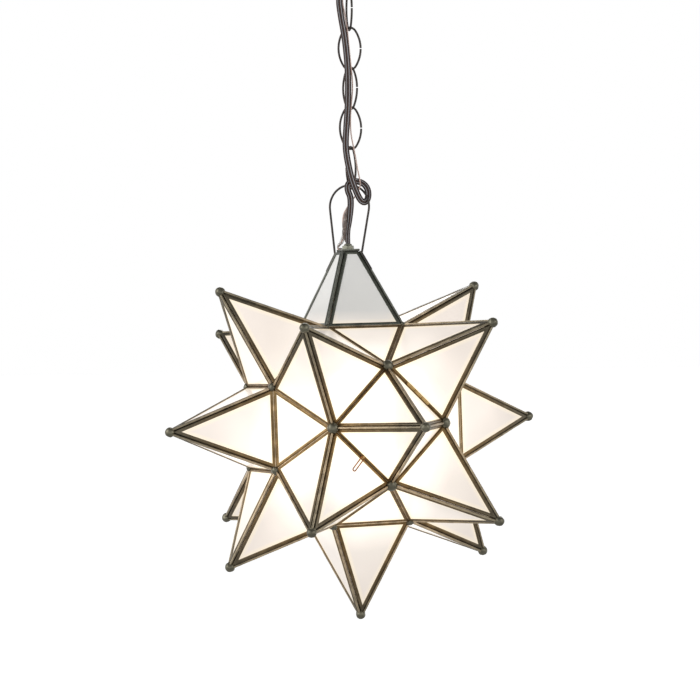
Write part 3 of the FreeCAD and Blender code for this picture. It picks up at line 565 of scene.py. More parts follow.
def finishes():
    """Every finish by name, made once."""
    if "milk_glass" in bpy.data.materials:
        return bpy.data.materials
    for make in (milk_glass, twin_cord_jacket, ground_sleeve, smoky_jacket, glazed_insulator, bulb_frosting):
        make()
    cool, cool_bead, came = (0.07, 0.075, 0.06), (0.15, 0.155, 0.13), chosen("came")
    # Painted lamp light: channels and seam beads take their second, warmer tone near the lamp; the cut
    # point's keep one tone.
    came_metal("channel_patina", came, (0.2, 0.125, 0.05))
    came_metal("cool_patina", cool, cool)
    came_metal("cool_seam", cool_bead, cool_bead, metallic=0.75)
    came_metal("seam_solder", shade(came, 2.6), (0.55, 0.42, 0.27), metallic=0.75)
    for name, tone, rough in (("drop_solder", chosen("solder"), (0.22, 0.42)),
                              ("blackened_wire", chosen("chain"), (0.3, 0.5))):
        worn_metal(name, shade(tone, 0.75), shade(tone, 1.45), rough)
    worn_metal("plate_solder", (0.05, 0.05, 0.036), (0.2, 0.2, 0.16), (0.3, 0.5), fine=500.0)
    worn_metal("zinc_plate", (0.36, 0.36, 0.35), (0.52, 0.52, 0.5), (0.25, 0.5), fine=500.0)
    worn_metal("dull_pewter", (0.1, 0.1, 0.078), (0.27, 0.27, 0.21), (0.25, 0.45), fine=700.0)
    worn_metal("lamp_brass", (0.36, 0.26, 0.12), (0.55, 0.42, 0.2), (0.2, 0.4), fine=300.0)
    worn_metal("worn_hinge_brass", (0.3, 0.2, 0.08), (0.5, 0.35, 0.16), (0.3, 0.5))
    worn_metal("pull_copper", (0.2, 0.07, 0.022), (0.42, 0.17, 0.06), (0.3, 0.5))
    worn_metal("bare_strand", (0.1, 0.09, 0.08), (0.75, 0.74, 0.7), (0.2, 0.4), fine=1200.0)
    worn_metal("canopy_bronze", (0.07, 0.06, 0.05), (0.14, 0.12, 0.1), (0.3, 0.5), fine=240.0,
               metallic=0.7)
    return bpy.data.materials


# ---- what a user would change ----
def size(name, description, millimetres):
    """A length that a user can set."""
    return bpy.props.FloatProperty(name=name, description=description, default=millimetres * MM, min=0,
                                   unit="LENGTH")


def colour(name, description, default):
    """A colour that a user can set."""
    return bpy.props.FloatVectorProperty(name=name, description=description, default=default, min=0, max=1,
                                         subtype="COLOR")


class PendantSizes(bpy.types.PropertyGroup):
    """Widths of the cords and wires, and how uneven the hand work is"""

    cord_width: size("Cord width", "Width of the flat twin cord", 6.0)
    cord_thickness: size("Cord thickness", "Thickness of the flat twin cord", 3.1)
    ground_width: size("Ground wire", "Diameter of the ground wire", 1.3)
    link_wire: size("Chain wire", "Diameter of the wire of the chain's links", 2.0)
    bail_wire: size("Bail wire", "Diameter of the wire of the bail", 2.0)
    came_unevenness: size("Channel unevenness", "How far the channels wander", 0.07)
    solder_unevenness: size("Solder unevenness", "Lumps of the solder drops", 0.35)


class PendantColours(bpy.types.PropertyGroup):
    """Colours of the glass, the metals and the cords"""

    glass: colour("Glass", "White of the panes", (0.765, 0.76, 0.735))
    # Lit glass: the panes' painted lit copy of the white, used where the painted glow is.
    lamp_lit_glass: colour("Lit glass", "The panes' white in the lamp's light", (0.5, 0.46, 0.415))
    glow: colour("Lamp light", "Light of the lamp through the panes", (1.0, 0.89, 0.81))
    came: colour("Channels", "Patinated brass of the channels", (0.1, 0.085, 0.058))
    solder: colour("Solder", "Grey of the solder drops", (0.125, 0.117, 0.085))
    chain: colour("Chain", "Blackened wire of chain and bail", (0.05, 0.044, 0.04))
    cord: colour("Cord", "Brown of the twin cord", (0.012, 0.009, 0.009))
    cord_edge: colour("Cord edge", "Paler web and edges of the twin cord", (0.16, 0.08, 0.055))
    # Cord strands: the colour of the painted highlight along the middle of each conductor.
    cord_highlight: colour("Cord strands", "Tinned strands seen through the cord's jacket", (0.36, 0.345, 0.355))
    ground: colour("Ground wire", "Copper under the clear jacket", (0.62, 0.44, 0.37))


# ---- cords ----
def route_line(route):
    """The smooth line of a route: the points that Blender gives for a NURBS spline of order 3 whose
    control points are the route's."""
    curve = bpy.data.curves.new("route", "CURVE")
    curve.dimensions = "3D"
    curve.resolution_u = 8
    spline = curve.splines.new("NURBS")
    spline.points.add(len(route) - 1)
    spline.points.foreach_set("co", [number for point in route for number in (*point, 1.0)])
    spline.order_u = 3
    spline.use_endpoint_u = True
    holder = bpy.data.objects.new("route", curve)
    mesh = bpy.data.meshes.new_from_object(holder)
    line = np.zeros(len(mesh.vertices) * 3)
    mesh.vertices.foreach_get("co", line)
    bpy.data.objects.remove(holder)
    bpy.data.curves.remove(curve)
    bpy.data.meshes.remove(mesh)
    return line.reshape(-1, 3)


def smooth_facing(line, wish, passes=14):
    """Which way the flat side looks: the wished way made square to the line, then averaged along it."""
    along = unit(np.gradient(line, axis=0))
    facing = np.broadcast_to(wish, line.shape) - along * (along * wish).sum(-1, keepdims=True)
    for _ in range(passes):
        facing[1:-1] = (facing[:-2] + facing[1:-1] * 2 + facing[2:]) / 4
        facing = facing - along * (facing * along).sum(-1, keepdims=True)
    return unit(facing)


def twin_section(width, thickness, sides=28):
    """A figure of eight: at x = (width / 2) cos t the half thickness is that of two round wires side by
    side, and no less than a web between them. Also how far across each point is, from 0 to 1."""
    r = thickness / 2
    t = (np.arange(sides) + 0.5) * 2 * np.pi / sides
    x = width / 2 * np.cos(t)
    from_wire = np.abs(np.abs(x) - (width / 2 - r))
    high = np.sqrt(np.maximum(r**2 - from_wire**2, 0))
    web = r * 0.62 * (np.abs(x) < width / 2 - r)
    return np.stack([x, np.sign(np.sin(t)) * np.maximum(high, web)], -1), x / width + 0.5


def lay_cord(name, route, section, finish, slot, nodes, across=None, slimmer=0.0):
    """A cord's stretches, one across each joint of the chain and cut halfway down each link. Each is the
    section carried along its line across its joint. The section narrows by the slimmer share above the stem.
    across is where each of its points lies, for the finish."""
    line = route_line(route)
    along = unit(np.gradient(line, axis=0))
    side = unit(np.cross(along, smooth_facing(line, np.array([0, -1.0, 0]))))
    up = np.cross(side, along)
    slim = 1 - slimmer * np.clip((SLIM_FROM - line[:, 2]) / SLIM_OVER, 0, 1)[:, None, None]
    rows = line[:, None] + side[:, None] * section[None, :, :1] * slim + up[:, None] * section[None, :, 1:]
    cuts = [0] + [int(np.argmax(line[:, 2] < height)) for height in LINK_MIDDLES] + [len(line) - 1]
    for k, (a, b) in enumerate(zip(cuts, cuts[1:])):
        path, grid = line[a:b + 1], rows[a:b + 1]
        head = path[0] + (grid[:1] - path[0]) * np.array([0.0, 0.6])[:, None, None]
        tail = path[-1] + (grid[-1:] - path[-1]) * np.array([0.6, 0.0])[:, None, None]
        grid = np.concatenate([head, grid, tail])
        values = {} if across is None else {"across": np.broadcast_to(across, grid.shape[:2])}
        piece = surface("%s_%d" % (name, k + 1), grid, finish, slot=slot, values=values, sharp=80)
        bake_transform(piece)
        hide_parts(*(nodes if b == cuts[-1] else nodes[:1]))


class PENDANT_OT_power_cord(bpy.types.Operator):
    """The flat twin cord down the chain, round the bail and into the stem"""

    bl_idname = "pendant.power_cord"
    bl_label = "Twin cord"

    def execute(self, context):
        sizes = context.scene.pendant_sizes
        section, across = twin_section(sizes.cord_width, sizes.cord_thickness)
        lay_cord("twin_cord", CORD_ROUTE, section, "twin_cord_jacket", "cord_jacket",
                 ("power_cord", "power_cord_tail"), across, slimmer=0.25)
        return {"FINISHED"}


class PENDANT_OT_ground_wire(bpy.types.Operator):
    """The clear ground wire beside the cord, under the ground screw's head"""

    bl_idname = "pendant.ground_wire"
    bl_label = "Ground wire"

    def execute(self, context):
        width = context.scene.pendant_sizes.ground_width
        lay_cord("bare_ground", GROUND_ROUTE, ring(width / 2, 12), "ground_sleeve", "ground_jacket",
                 ("ground_wire", "ground_wire_tail"))
        return {"FINISHED"}


def loose_strands(line, count, thick):
    """Strands that have come loose round a wire: each winds round its line as w (cos p, sin p) across the
    line, with p growing along it and w swelling in the middle, and runs straight in at both ends."""
    s = np.linspace(0, 1, len(line))
    along = unit(np.gradient(line, axis=0))
    side = unit(np.cross(along, (0, 1.0, 0)))
    up = np.cross(side, along)
    grids = []
    for k in range(count):
        p = (k * 2.4 + (5.0 + 2.0 * (k % 3)) * s * (1 if k % 2 else -1))[:, None]
        w = (0.0002 + (0.0009 + 0.00025 * (k % 4)) * np.sin(np.pi * s) ** 0.8)[:, None]
        path = line + w * (np.cos(p) * side + np.sin(p) * up)
        grids.append(sweep(path, ring(thick / 2, 8), (0.3, 1.0, 0.2), end=thick * 0.3))
    return grids


def split_sleeve():
    """The sleeve split off the wire: a round section along its route, whose radius swells in the middle
    and wavers by a sine."""
    line = route_line(SLEEVE_ROUTE)
    s = np.linspace(0, 1, len(line))
    thick = 0.0007 + 0.0014 * np.sin(np.pi * s ** 0.8) ** 0.8 + 0.00015 * np.sin(19 * s)
    return sweep(line, ring(1.0, 16) * thick[:, None, None], (0, -1.0, 0.1), end=0.0005)


class PENDANT_OT_loose_strands(bpy.types.Operator):
    """The frayed strands of the ground wire above its screw"""

    bl_idname = "pendant.loose_strands"
    bl_label = "Frayed strands"

    def execute(self, context):
        line = route_line(GROUND_ROUTE)
        line = line[(line[:, 2] < STRANDS_FROM) & (np.arange(len(line)) < len(line) - 12)]
        for name, grids, finish in (("split_jacket", split_sleeve(), "smoky_jacket"),
                                    ("frayed_strands", loose_strands(line, 9, 0.00032), "bare_strand")):
            surface(name, grids, finish, "star", "ground_wire_tail", "ground_jacket", sharp=80)
        return {"FINISHED"}


# ---- chain and bail ----
def arc(centre, radius, start, end, steps):
    """Points on a circle in the XZ plane, angles in degrees from +X towards +Z."""
    t = np.radians(np.linspace(start, end, steps))
    return centre + radius * np.stack([np.cos(t), 0 * t, np.sin(t)], -1)


def link_outline(half_length=19.3, half_width=10.2, r=6.5, seam_width=1.2):
    """A link's centre line: two end arcs of radius r and two flatter side arcs that meet them
    smoothly, open by the seam on +X."""
    side = (half_width**2 + (half_length - r) ** 2 - r**2) / (2 * (half_width - r))
    meet = math.degrees(math.atan2(half_length - r, side - half_width))
    seam = math.degrees(math.asin(seam_width / 2 / side))
    right, left = np.array([half_width - side, 0, 0]), np.array([side - half_width, 0, 0])
    upper, lower = np.array([0, 0, half_length - r]), np.array([0, 0, r - half_length])
    arcs = [arc(right, side, seam, meet, 12), arc(upper, r, meet, 180 - meet, 20),
            arc(left, side, 180 - meet, 180 + meet, 22), arc(lower, r, 180 + meet, 360 - meet, 20),
            arc(right, side, -meet, -seam, 12)]
    return np.concatenate([arcs[0]] + [a[1:] for a in arcs[1:]])


class PENDANT_OT_chain(bpy.types.Operator):
    """The chain's five oval links, each with the open butt of its wire"""

    bl_idname = "pendant.chain"
    bl_label = "Chain"

    def execute(self, context):
        wire = context.scene.pendant_sizes.link_wire
        outline = link_outline()
        for k, (middle, turn, side) in enumerate(zip(LINK_MIDDLES, LINK_TURNS, LINK_SEAM_SIDES), 1):
            matrix = turn_z(turn)
            path = (outline * (side, 1, 1)) @ matrix.T * MM + (0, 0, middle)
            grid = sweep(path, ring(wire / 2, 16), matrix @ (0, 1, 0), end=wire * 0.12)
            link = "link_%d" % k
            surface("link_wire_%d" % k, grid, "blackened_wire", link, "chain_" + link, "chain_wire")
        return {"FINISHED"}


def on_ridge(height, side):
    """The bail's place at a height on one side, a little off the cut point's ridge."""
    slope = SIDE * math.sqrt(0.5) / POINT_HEIGHT
    return np.array([side * ((TIP - height) * slope + BAIL_OFF_RIDGE), 0, height])


def bail_path():
    """The bail's centre line: a foot along each ridge, and legs from the feet that touch the arch."""
    feet, kinks, angles = [], [], []
    for side in (1, -1):
        feet.append(on_ridge(BAIL_FOOT, side))
        kinks.append(on_ridge(BAIL_KINK, side))
        away = kinks[-1] - BAIL_CENTRE
        swing = math.degrees(math.acos(BAIL_RADIUS / np.linalg.norm(away)))
        angles.append(math.degrees(math.atan2(away[2], away[0])) + side * swing)
    arch = arc(BAIL_CENTRE, BAIL_RADIUS, angles[0], angles[1] + 360, 60)
    up = [np.linspace(feet[0], kinks[0], 6)[:-1], np.linspace(kinks[0], arch[0], 16)[:-1]]
    down = [np.linspace(arch[-1], kinks[1], 16)[1:], np.linspace(kinks[1], feet[1], 6)[1:]]
    return np.concatenate([*up, arch, *down])


class PENDANT_OT_bail(bpy.types.Operator):
    """The bail: an arch of wire whose legs come down to two opposite ridges of the cut point"""

    bl_idname = "pendant.bail"
    bl_label = "Bail"

    def execute(self, context):
        wire = context.scene.pendant_sizes.bail_wire / MM
        matrix = turn_z(BAIL_TURN)
        grid = sweep(bail_path() @ matrix.T, ring(wire / 2, 16), matrix @ (0, 1, 0), end=wire * 0.2)
        star_piece("bail_wire", grid, "blackened_wire", "bail", "chain_wire")
        return {"FINISHED"}


# ---- the star's panes ----
AXES = np.array([[0, -1, 0], [math.sqrt(0.5), 0, math.sqrt(0.5)], [-math.sqrt(0.5), 0, math.sqrt(0.5)]])
POINTS = {
    "high_right": (0, 1, 0), "high_left": (0, 0, 1), "upper_front_left": (1, 0, 1),
    "upper_front_right": (1, 1, 0), "upper_back_left": (-1, 0, 1), "upper_back_right": (-1, 1, 0),
    "left": (0, -1, 1), "right": (0, 1, -1), "back": (-1, 0, 0), "lower_front_left": (1, -1, 0),
    "lower_front_right": (1, 0, -1), "lower_back_left": (-1, -1, 0), "lower_back_right": (-1, 0, -1),
    "low_left": (0, -1, 0), "low_right": (0, 0, -1), "bottom": (0, -1, -1),
}
POINT_SIGNS = list(POINTS.values())
ROWS = {"upper": POINT_SIGNS[:6], "middle": POINT_SIGNS[6:9], "lower": POINT_SIGNS[9:]}
DOOR = (1, 0, 0)
STUB = (0, 1, 1)
OCTANTS = [(i, j, k) for i in (1, -1) for j in (1, -1) for k in (1, -1)]


def inset_at(half_angle):
    """How far a channel's edge stays from the line where two panes' middle planes meet."""
    edge = CHANNEL_DEPTH / 2
    reach = max((edge - CHANNEL_BEVEL) / math.tan(half_angle), edge / math.tan(half_angle) - CHANNEL_BEVEL)
    return max(reach, 0) + SEAM


SLOPE = math.atan2(POINT_HEIGHT, SIDE / 2)
VALLEY_HALF = math.radians((360 - SQUARE_TO_SQUARE) / 2) - SLOPE
RIDGE_INSET = inset_at(math.acos(-math.cos(SLOPE) ** 2) / 2)
VALLEY_INSET = inset_at(VALLEY_HALF)
FLAT_INSET = inset_at(math.radians((360 - SQUARE_TO_TRIANGLE) / 2) - SLOPE / 2)
STUB_INSET = inset_at(SLOPE)


def point_direction(signs):
    """The way a point looks, from its signs along the star's cube axes."""
    return unit(np.array(signs) @ AXES)


def point_panes(signs, cut=None):
    """(corners, insets) of a point's four panes, whole or cut off at a height above its square."""
    out = point_direction(signs)
    used = [a * s for a, s in zip(AXES, signs) if s]
    free = [a for a, s in zip(AXES, signs) if not s]
    if len(used) == 1:
        one, two, two_inset = free[0], free[1], VALLEY_INSET
    else:
        one, two, two_inset = unit(used[0] - used[1]), free[0], FLAT_INSET
    made = []
    for facing, along, base in ((one, two, VALLEY_INSET), (-one, two, VALLEY_INSET),
                                (two, one, two_inset), (-two, one, two_inset)):
        middle = out * CORE + facing * (SIDE / 2)
        low, high, tip = middle - along * (SIDE / 2), middle + along * (SIDE / 2), out * TIP
        if cut is None:
            made.append(([low, high, tip], [base, RIDGE_INSET, RIDGE_INSET]))
        else:
            share = cut / POINT_HEIGHT
            made.append(([low, high, high + (tip - high) * share, low + (tip - low) * share],
                         [base, RIDGE_INSET, STUB_INSET, RIDGE_INSET]))
    return made


def core_vertices(signs):
    """The corners of the flat pane in one octant: the long coordinate on each cube axis in turn."""
    near = np.full((3, 3), SIDE / 2)
    np.fill_diagonal(near, CORE)
    return (near * signs) @ AXES


def flat_panes():
    """(corners, insets) of the eight flat panes between the points."""
    return [(core_vertices(signs), [FLAT_INSET] * 3) for signs in OCTANTS]


def pane_places(panes, inward, outward):
    """(places, normal) for panes: at each corner each profile point is moved in from the edge before it
    and from the edge after it, and then out along the pane's normal. places has the shape (panes,
    corners, points, 3)."""
    corners = np.array([p[0] for p in panes])
    insets = np.array([p[1] for p in panes])
    normal = unit(np.cross(corners[:, 1] - corners[:, 0], corners[:, 2] - corners[:, 0]))
    normal *= np.sign((normal * corners[:, 0]).sum(-1, keepdims=True))
    back = unit(np.roll(corners, 1, 1) - corners)
    ahead = unit(np.roll(corners, -1, 1) - corners)
    sine = np.linalg.norm(np.cross(back, ahead), axis=-1)[..., None, None]
    before = (np.roll(insets, 1, 1)[..., None] + inward)[..., None]
    after = (insets[..., None] + inward)[..., None]
    places = corners[:, :, None] + (back[:, :, None] * after + ahead[:, :, None] * before) / sine
    return places + normal[:, None, None] * np.asarray(outward)[:, None], normal


def glass_sheets(panes, rows=13, columns=15):
    """(grid, distance from the edge in millimetres) of panes of glass. A point of a sheet is
    (1-u) ((1-v) low + v high) + u ((1-v) upper low + v upper high), out of the pane by half the thickness
    on one face and in by it on the other; the two faces meet round the edge."""
    places, normal = pane_places(panes, np.array([GLASS_INSET]), np.array([0.0]))
    corners = places[:, :, 0]
    low, high, upper_high, upper_low = (corners[:, k][:, None, None] for k in (0, 1, 2, -1))
    u = np.linspace(0, 1, rows)[:, None, None]
    v = np.linspace(0, 1, columns)[:, None]
    face = (1 - u) * ((1 - v) * low + v * high) + u * ((1 - v) * upper_low + v * upper_high)
    edges = [(corner[:, None, None], unit(after - corner)[:, None, None]) for corner, after in
             zip(corners.swapaxes(0, 1), np.roll(corners, -1, 1).swapaxes(0, 1))]
    away = np.min([np.linalg.norm(np.cross(face - corner, way), axis=-1) for corner, way in edges], 0)
    out = normal[:, None, None] * GLASS_THICKNESS / 2
    both = np.concatenate([face + out, (face - out)[:, :, ::-1]], 2)
    rims = [np.concatenate([face[:, r], face[:, r, ::-1]], 1)[:, None] for r in (0, -1)]
    away = np.concatenate([away, away[:, :, ::-1]], 2)
    return np.concatenate([rims[0], both, rims[1]], 1), np.concatenate([away[:, :1], away, away[:, -1:]], 1)


class PENDANT_OT_glass(bpy.types.Operator):
    """The panes of white glass"""

    bl_idname = "pendant.glass"
    bl_label = "Glass"

    def execute(self, context):
        pieces = [(name, point_panes(signs), "star") for name, signs in POINTS.items()]
        pieces += [("door", point_panes(DOOR), "door"), ("top_stub", point_panes(STUB, STUB_HEIGHT), "star"),
                   ("flat_triangles", flat_panes(), "star")]
        for name, panes, body in pieces:
            grid, away = glass_sheets(panes)
            star_piece("sheet_" + name, grid, "milk_glass", "glass_" + name, "star_glass", body,
                       values={"from_edge": away})
        return {"FINISHED"}


# ---- the star's channels and their solder ----
def channel_profile():
    """A channel's section as (inwards from the pane's edge, out of the pane): a U round the glass with
    soft outer corners and thin rounded lips."""
    edge, glass = CHANNEL_DEPTH / 2, GLASS_THICKNESS / 2 + 0.02
    side = [(0.0, 0.0), (0.25, edge - 0.35), (0.9, edge - 0.04), (CHANNEL_FACE * 0.5, edge),
            (CHANNEL_FACE - 0.75, edge - 0.06), (CHANNEL_FACE - 0.1, edge - 0.3), (CHANNEL_FACE, glass),
            (1.2, glass)]
    radii = [0.3, 0.5, 0.5, 0.5, 0.5, 0.25, 0.1, 0.05]
    return rounded(side + [(w, -n) for w, n in side[:0:-1]], radii + radii[:0:-1], 3)


def channels(panes, unevenness, seed, samples=10):
    """Channels round panes: the profile is mitred at each corner, and along each edge it runs straight,
    but for a small waver of its outer faces."""
    inward, outward = channel_profile().T
    places, normal = pane_places(panes, inward, outward)
    s = (np.linspace(0, 1, samples, endpoint=False))[None, None, :, None, None]
    grid = places[:, :, None] * (1 - s) + np.roll(places, -1, 1)[:, :, None] * s
    count, edges = places.shape[:2]
    grid = grid.reshape(count, edges * samples, len(inward), 3)
    outer = np.abs(outward) > GLASS_THICKNESS / 2 + 0.3
    waver = waves(grid, 9.0, seed)[..., None] * (outer * np.sign(outward))[:, None] * unevenness
    return grid + waver * normal[:, None, None]


class PENDANT_OT_channels(bpy.types.Operator):
    """The brass channels round every pane of the star"""

    bl_idname = "pendant.channels"
    bl_label = "Channels"

    def execute(self, context):
        uneven = context.scene.pendant_sizes.came_unevenness / MM
        pieces = [("channels_" + row, [pane for signs in points for pane in point_panes(signs)], seed,
                   "channel_patina", "came_" + row, "star")
                  for seed, (row, points) in enumerate(ROWS.items())]
        pieces += [
            ("channels_cut_point", point_panes(STUB, STUB_HEIGHT), 4, "cool_patina", "came_top_stub", "star"),
            ("channels_flat_panes", flat_panes(), 5, "channel_patina", "came_flat_triangles", "star"),
            ("channels_door", point_panes(DOOR), 6, "channel_patina", "came_door", "door"),
        ]
        for name, panes, seed, finish, node, body in pieces:
            star_piece(name, channels(panes, uneven, seed), finish, node, "channels", body, loop=True)
        return {"FINISHED"}


def seam_beads(panes):
    """Beads of solder along the edges of panes: a straight rod on each edge, lifted away from the star's
    centre, its radius uneven as radius (1 + 0.12 waves)."""
    rods = {}
    for corners, _ in panes:
        for a, b in zip(corners, np.roll(corners, -1, 0)):
            rods[tuple(np.round((a + b) / 2, 2))] = (a, b)
    grids = []
    s = np.linspace(0.015, 0.985, 14)[:, None]
    for a, b in rods.values():
        along = unit(b - a)
        out = unit(a + b)
        out = unit(out - along * (out @ along))
        path = a * (1 - s) + b * s + out * BEAD_LIFT
        swell = 1 + 0.12 * waves(path, 11.0, 17)
        grids.append(sweep(path, ring(BEAD_RADIUS, 10) * swell[:, None, None], out, end=0.3))
    return grids


class PENDANT_OT_seams(bpy.types.Operator):
    """The solder that closes the seams between the channels"""

    bl_idname = "pendant.seams"
    bl_label = "Seams"

    def execute(self, context):
        whole = [pane for signs in POINT_SIGNS for pane in point_panes(signs)]
        cut = point_panes(STUB, STUB_HEIGHT)
        at_middle = 5
        ridges = [rod for rod in seam_beads(point_panes(DOOR)) if abs(rod[at_middle, 0] @ AXES[0] - CORE) > 3]
        for name, rods, finish, node, body in (
            ("seams", seam_beads(whole + flat_panes()), "seam_solder", "came_upper", "star"),
            ("seams_cut_point", seam_beads(cut), "cool_seam", "came_top_stub", "star"),
            ("seams_door", ridges, "seam_solder", "came_door", "door"),
        ):
            star_piece(name, rods, finish, node, "channels", body)
        return {"FINISHED"}


def tip_base():
    """Height of the underside of a tip's solder cap above the star's centre."""
    half = math.atan2(SIDE / 2, math.hypot(POINT_HEIGHT, SIDE / 2))
    lean = math.pi / 2 - SLOPE
    edge = CHANNEL_DEPTH / 2 - CHANNEL_BEVEL
    return TIP - (RIDGE_INSET / math.sin(half) * math.cos(lean) - edge * math.sin(lean) - SEAM)


def drops(places, directions, radius, height, unevenness, seed):
    """Drops of solder: a ball r = R cos a, z = H sin a for a from the underside to the top, drawn out on
    four sides below its middle, where it runs into the channels, and lumped by waves of its place."""
    a = np.radians(np.linspace(-90, 90, 16))[:, None]
    t = round_steps(28)
    r = radius * np.cos(a) * (1 + 0.1 * np.cos(4 * t) * np.maximum(0.3 - np.sin(a), 0))
    drop = about_z(r, t, height * np.sin(a))
    grids = []
    for place, direction in zip(places, directions):
        grid = drop @ to_direction(direction).T
        lump = waves(grid + place, 4.5, seed)[..., None] * unevenness * np.cos(a)[..., None]
        grids.append(grid * (1 + lump / radius) + place)
    return grids


class PENDANT_OT_solder(bpy.types.Operator):
    """The solder: a cap on each tip and a drop where channels meet"""

    bl_idname = "pendant.solder"
    bl_label = "Solder"

    def execute(self, context):
        uneven = context.scene.pendant_sizes.solder_unevenness / MM
        base = tip_base() + 0.9
        for name, points, seed, node, body in (("tip_solder", POINT_SIGNS, 11, "tip_caps", "star"),
                                               ("door_tip_solder", [DOOR], 12, "door_tip_cap", "door")):
            tips = np.array([point_direction(signs) for signs in points])
            caps = drops(tips * base, tips, radius=4.5, height=4.7, unevenness=uneven, seed=seed)
            star_piece(name, caps, "drop_solder", node, "solder", body, sharp=80)
        corners = np.array([v for signs in OCTANTS for v in core_vertices(signs)])
        high, front = corners[:, 2] > CORE - 1, corners @ AXES[0] > SIDE / 2 + 1
        share = np.where(high, 0.62, np.where(front, 1.12, 0.85))
        joints = [drops([corner + way * 2.6 * k], [way], radius=4.6 * k, height=3.5 * k,
                        unevenness=uneven * k, seed=13)[0]
                  for corner, way, k in zip(corners, unit(corners), share)]
        star_piece("joint_solder", joints, "drop_solder", "solder_joints", "solder", sharp=80)
        return {"FINISHED"}


# ---- fittings on the star's stem ----
def pan_head(radius, height, neck, shank):
    """A slotted screw: a straight shank, then a head z = neck + (height - neck) sqrt(1 - (r / radius)^4),
    less deep along the slot, where |y| is under a fifth of the radius."""
    t = round_steps(48)
    r = radius * np.sin(np.linspace(0, np.pi / 2, 22))[::-1, None]
    z = neck + (height - neck) * (1 - (r / radius) ** 4) ** 0.5 + 0 * t
    z = z - np.where((abs(r * np.sin(t)) < radius * 0.2) & (z > neck + 0.3), 0.5, 0)
    return np.concatenate([turned([(0, 0), (shank, 0), (shank, neck), (radius, neck)]), about_z(r, t, z)])


def cap_outline(side, height, sides=96):
    """A square ring of points with rounded corners: |x|^n + |y|^n = (side / 2)^n with n = 2 side / corner."""
    t = round_steps(sides)
    n = 2 * side / PLATE_CORNER
    return about_z(side / 2 / (abs(np.cos(t)) ** n + abs(np.sin(t)) ** n) ** (1 / n), t, height)


def soldered_plate():
    """The plate that closes the cut point: square rings one above the other, whose rim is uneven by
    waves, and the stem's hole through them."""
    rings = np.array([cap_outline(PLATE_SIDE + wider, STUB_TOP + height) for wider, height in
                      ((-0.5, 0), (0, 0.2), (0, 0.7), (-0.3, 1.05), (-1.0, PLATE_TOP - STUB_TOP))])
    rings[..., 2] += waves(rings, 5.0, 21) * np.array([0, 0.1, 0.1, 0.06, 0])[:, None]
    return np.concatenate([rings, turned([(NUT_BORE, PLATE_TOP), (NUT_BORE, STUB_TOP)], 96)])


class PENDANT_OT_stem(bpy.types.Operator):
    """The soldered plate on the cut point, the threaded stem, its nuts and the ground screw"""

    bl_idname = "pendant.stem"
    bl_label = "Stem and nuts"

    def execute(self, context):
        stem = threaded(STEM_RADIUS, STEM_BORE, STEM_TOP, STEM_FOOT, pitch=1.0, depth=0.35)
        nuts = [hex_nut(NUT_FLATS, NUT_BORE, PLATE_TOP, UPPER_NUT),
                hex_nut(NUT_FLATS, NUT_BORE, STUB_TOP - LOWER_NUT, LOWER_NUT)]
        screw = pan_head(radius=2.2, height=2.5, neck=1.6, shank=1.2)
        screw = screw + (-GROUND_SCREW_OUT, GROUND_SCREW_OUT, PLATE_TOP)
        plate = soldered_plate()
        star_piece("threaded_stem", stem, "dull_pewter", "stem", "pewter_brass", loop=True, sharp=60)
        star_piece("hex_nuts", nuts, "dull_pewter", "stem_nuts", "pewter_brass", loop=True)
        star_piece("soldered_plate", plate, "plate_solder", "cap_plate", "solder", loop=True, sharp=50)
        star_piece("slotted_ground_screw", screw, "zinc_plate", "ground_screw", "zinc_steel")
        return {"FINISHED"}


# ---- lamp holder and bulb: (radius, height) profiles down from the top of each ----
HOLDER_CAP = [(NUT_BORE, 0), (7, 0), (13.1, -2.9), (17.3, -8.6), (17.5, -9.4), (17.5, -17.2), (17.1, -17.6),
              (17.5, -18), (16.6, -18), (16.6, -9.6), (12.6, -3.9), (7, -0.9), (NUT_BORE, -0.9)]
HOLDER_SHELL = [(16.5, 0), (16.5, -2.5), (16.1, -3.3), (16.1, -4.1), (16.5, -4.9), (16.5, -33), (16.1, -34),
                (16.1, -35), (16.5, -36), (16.5, -40), (15.6, -40), (15.6, 0)]
BASE_END = [(12.6, -4.2), (9.5, -2.8), (5.4, -1.5), (3.5, -1.2), (3.2, -0.3), (2.4, 0), (0, 0)]
BULB_KNOTS = [0, 0.06, 0.2, 0.38, 0.55, 0.72, 0.87, 0.95, 1]
BULB_RADII = [12.4, 12.6, 17.2, 25.7, 29.4, 28.6, 21.0, 12.5, 0]


def base_profile():
    """The bulb's screw base: r = 13 - 0.45 (1 - cos(2 pi z / pitch)) along its rolled thread, then the
    narrowing end with the contact."""
    z = np.linspace(-BASE_HEIGHT, -5, 44)
    thread = np.stack([13.0 - 0.45 * (1 - np.cos(2 * np.pi * z / BASE_PITCH)), z], -1)
    return np.concatenate([[(0, -BASE_HEIGHT)], thread, BASE_END])


def bulb_profile():
    """The bulb's glass, outside and then inside: its radius goes straight from knot to knot and is eased
    by the mean of each three neighbours, the middle one counted twice; its wall is 1 mm."""
    down = np.linspace(0, 1, 40)
    outer = np.stack([np.interp(down, BULB_KNOTS, BULB_RADII), -BULB_LENGTH * down], -1)
    outer[1:-1, 0] = (outer[:-2, 0] + 2 * outer[1:-1, 0] + outer[2:, 0]) / 4
    inner = outer[::-1] + np.where(outer[::-1, :1] > 1.2, (-1.0, 0.0), (0.0, 1.0))
    inner[0] = (0, 1 - BULB_LENGTH)
    return np.concatenate([outer, inner])


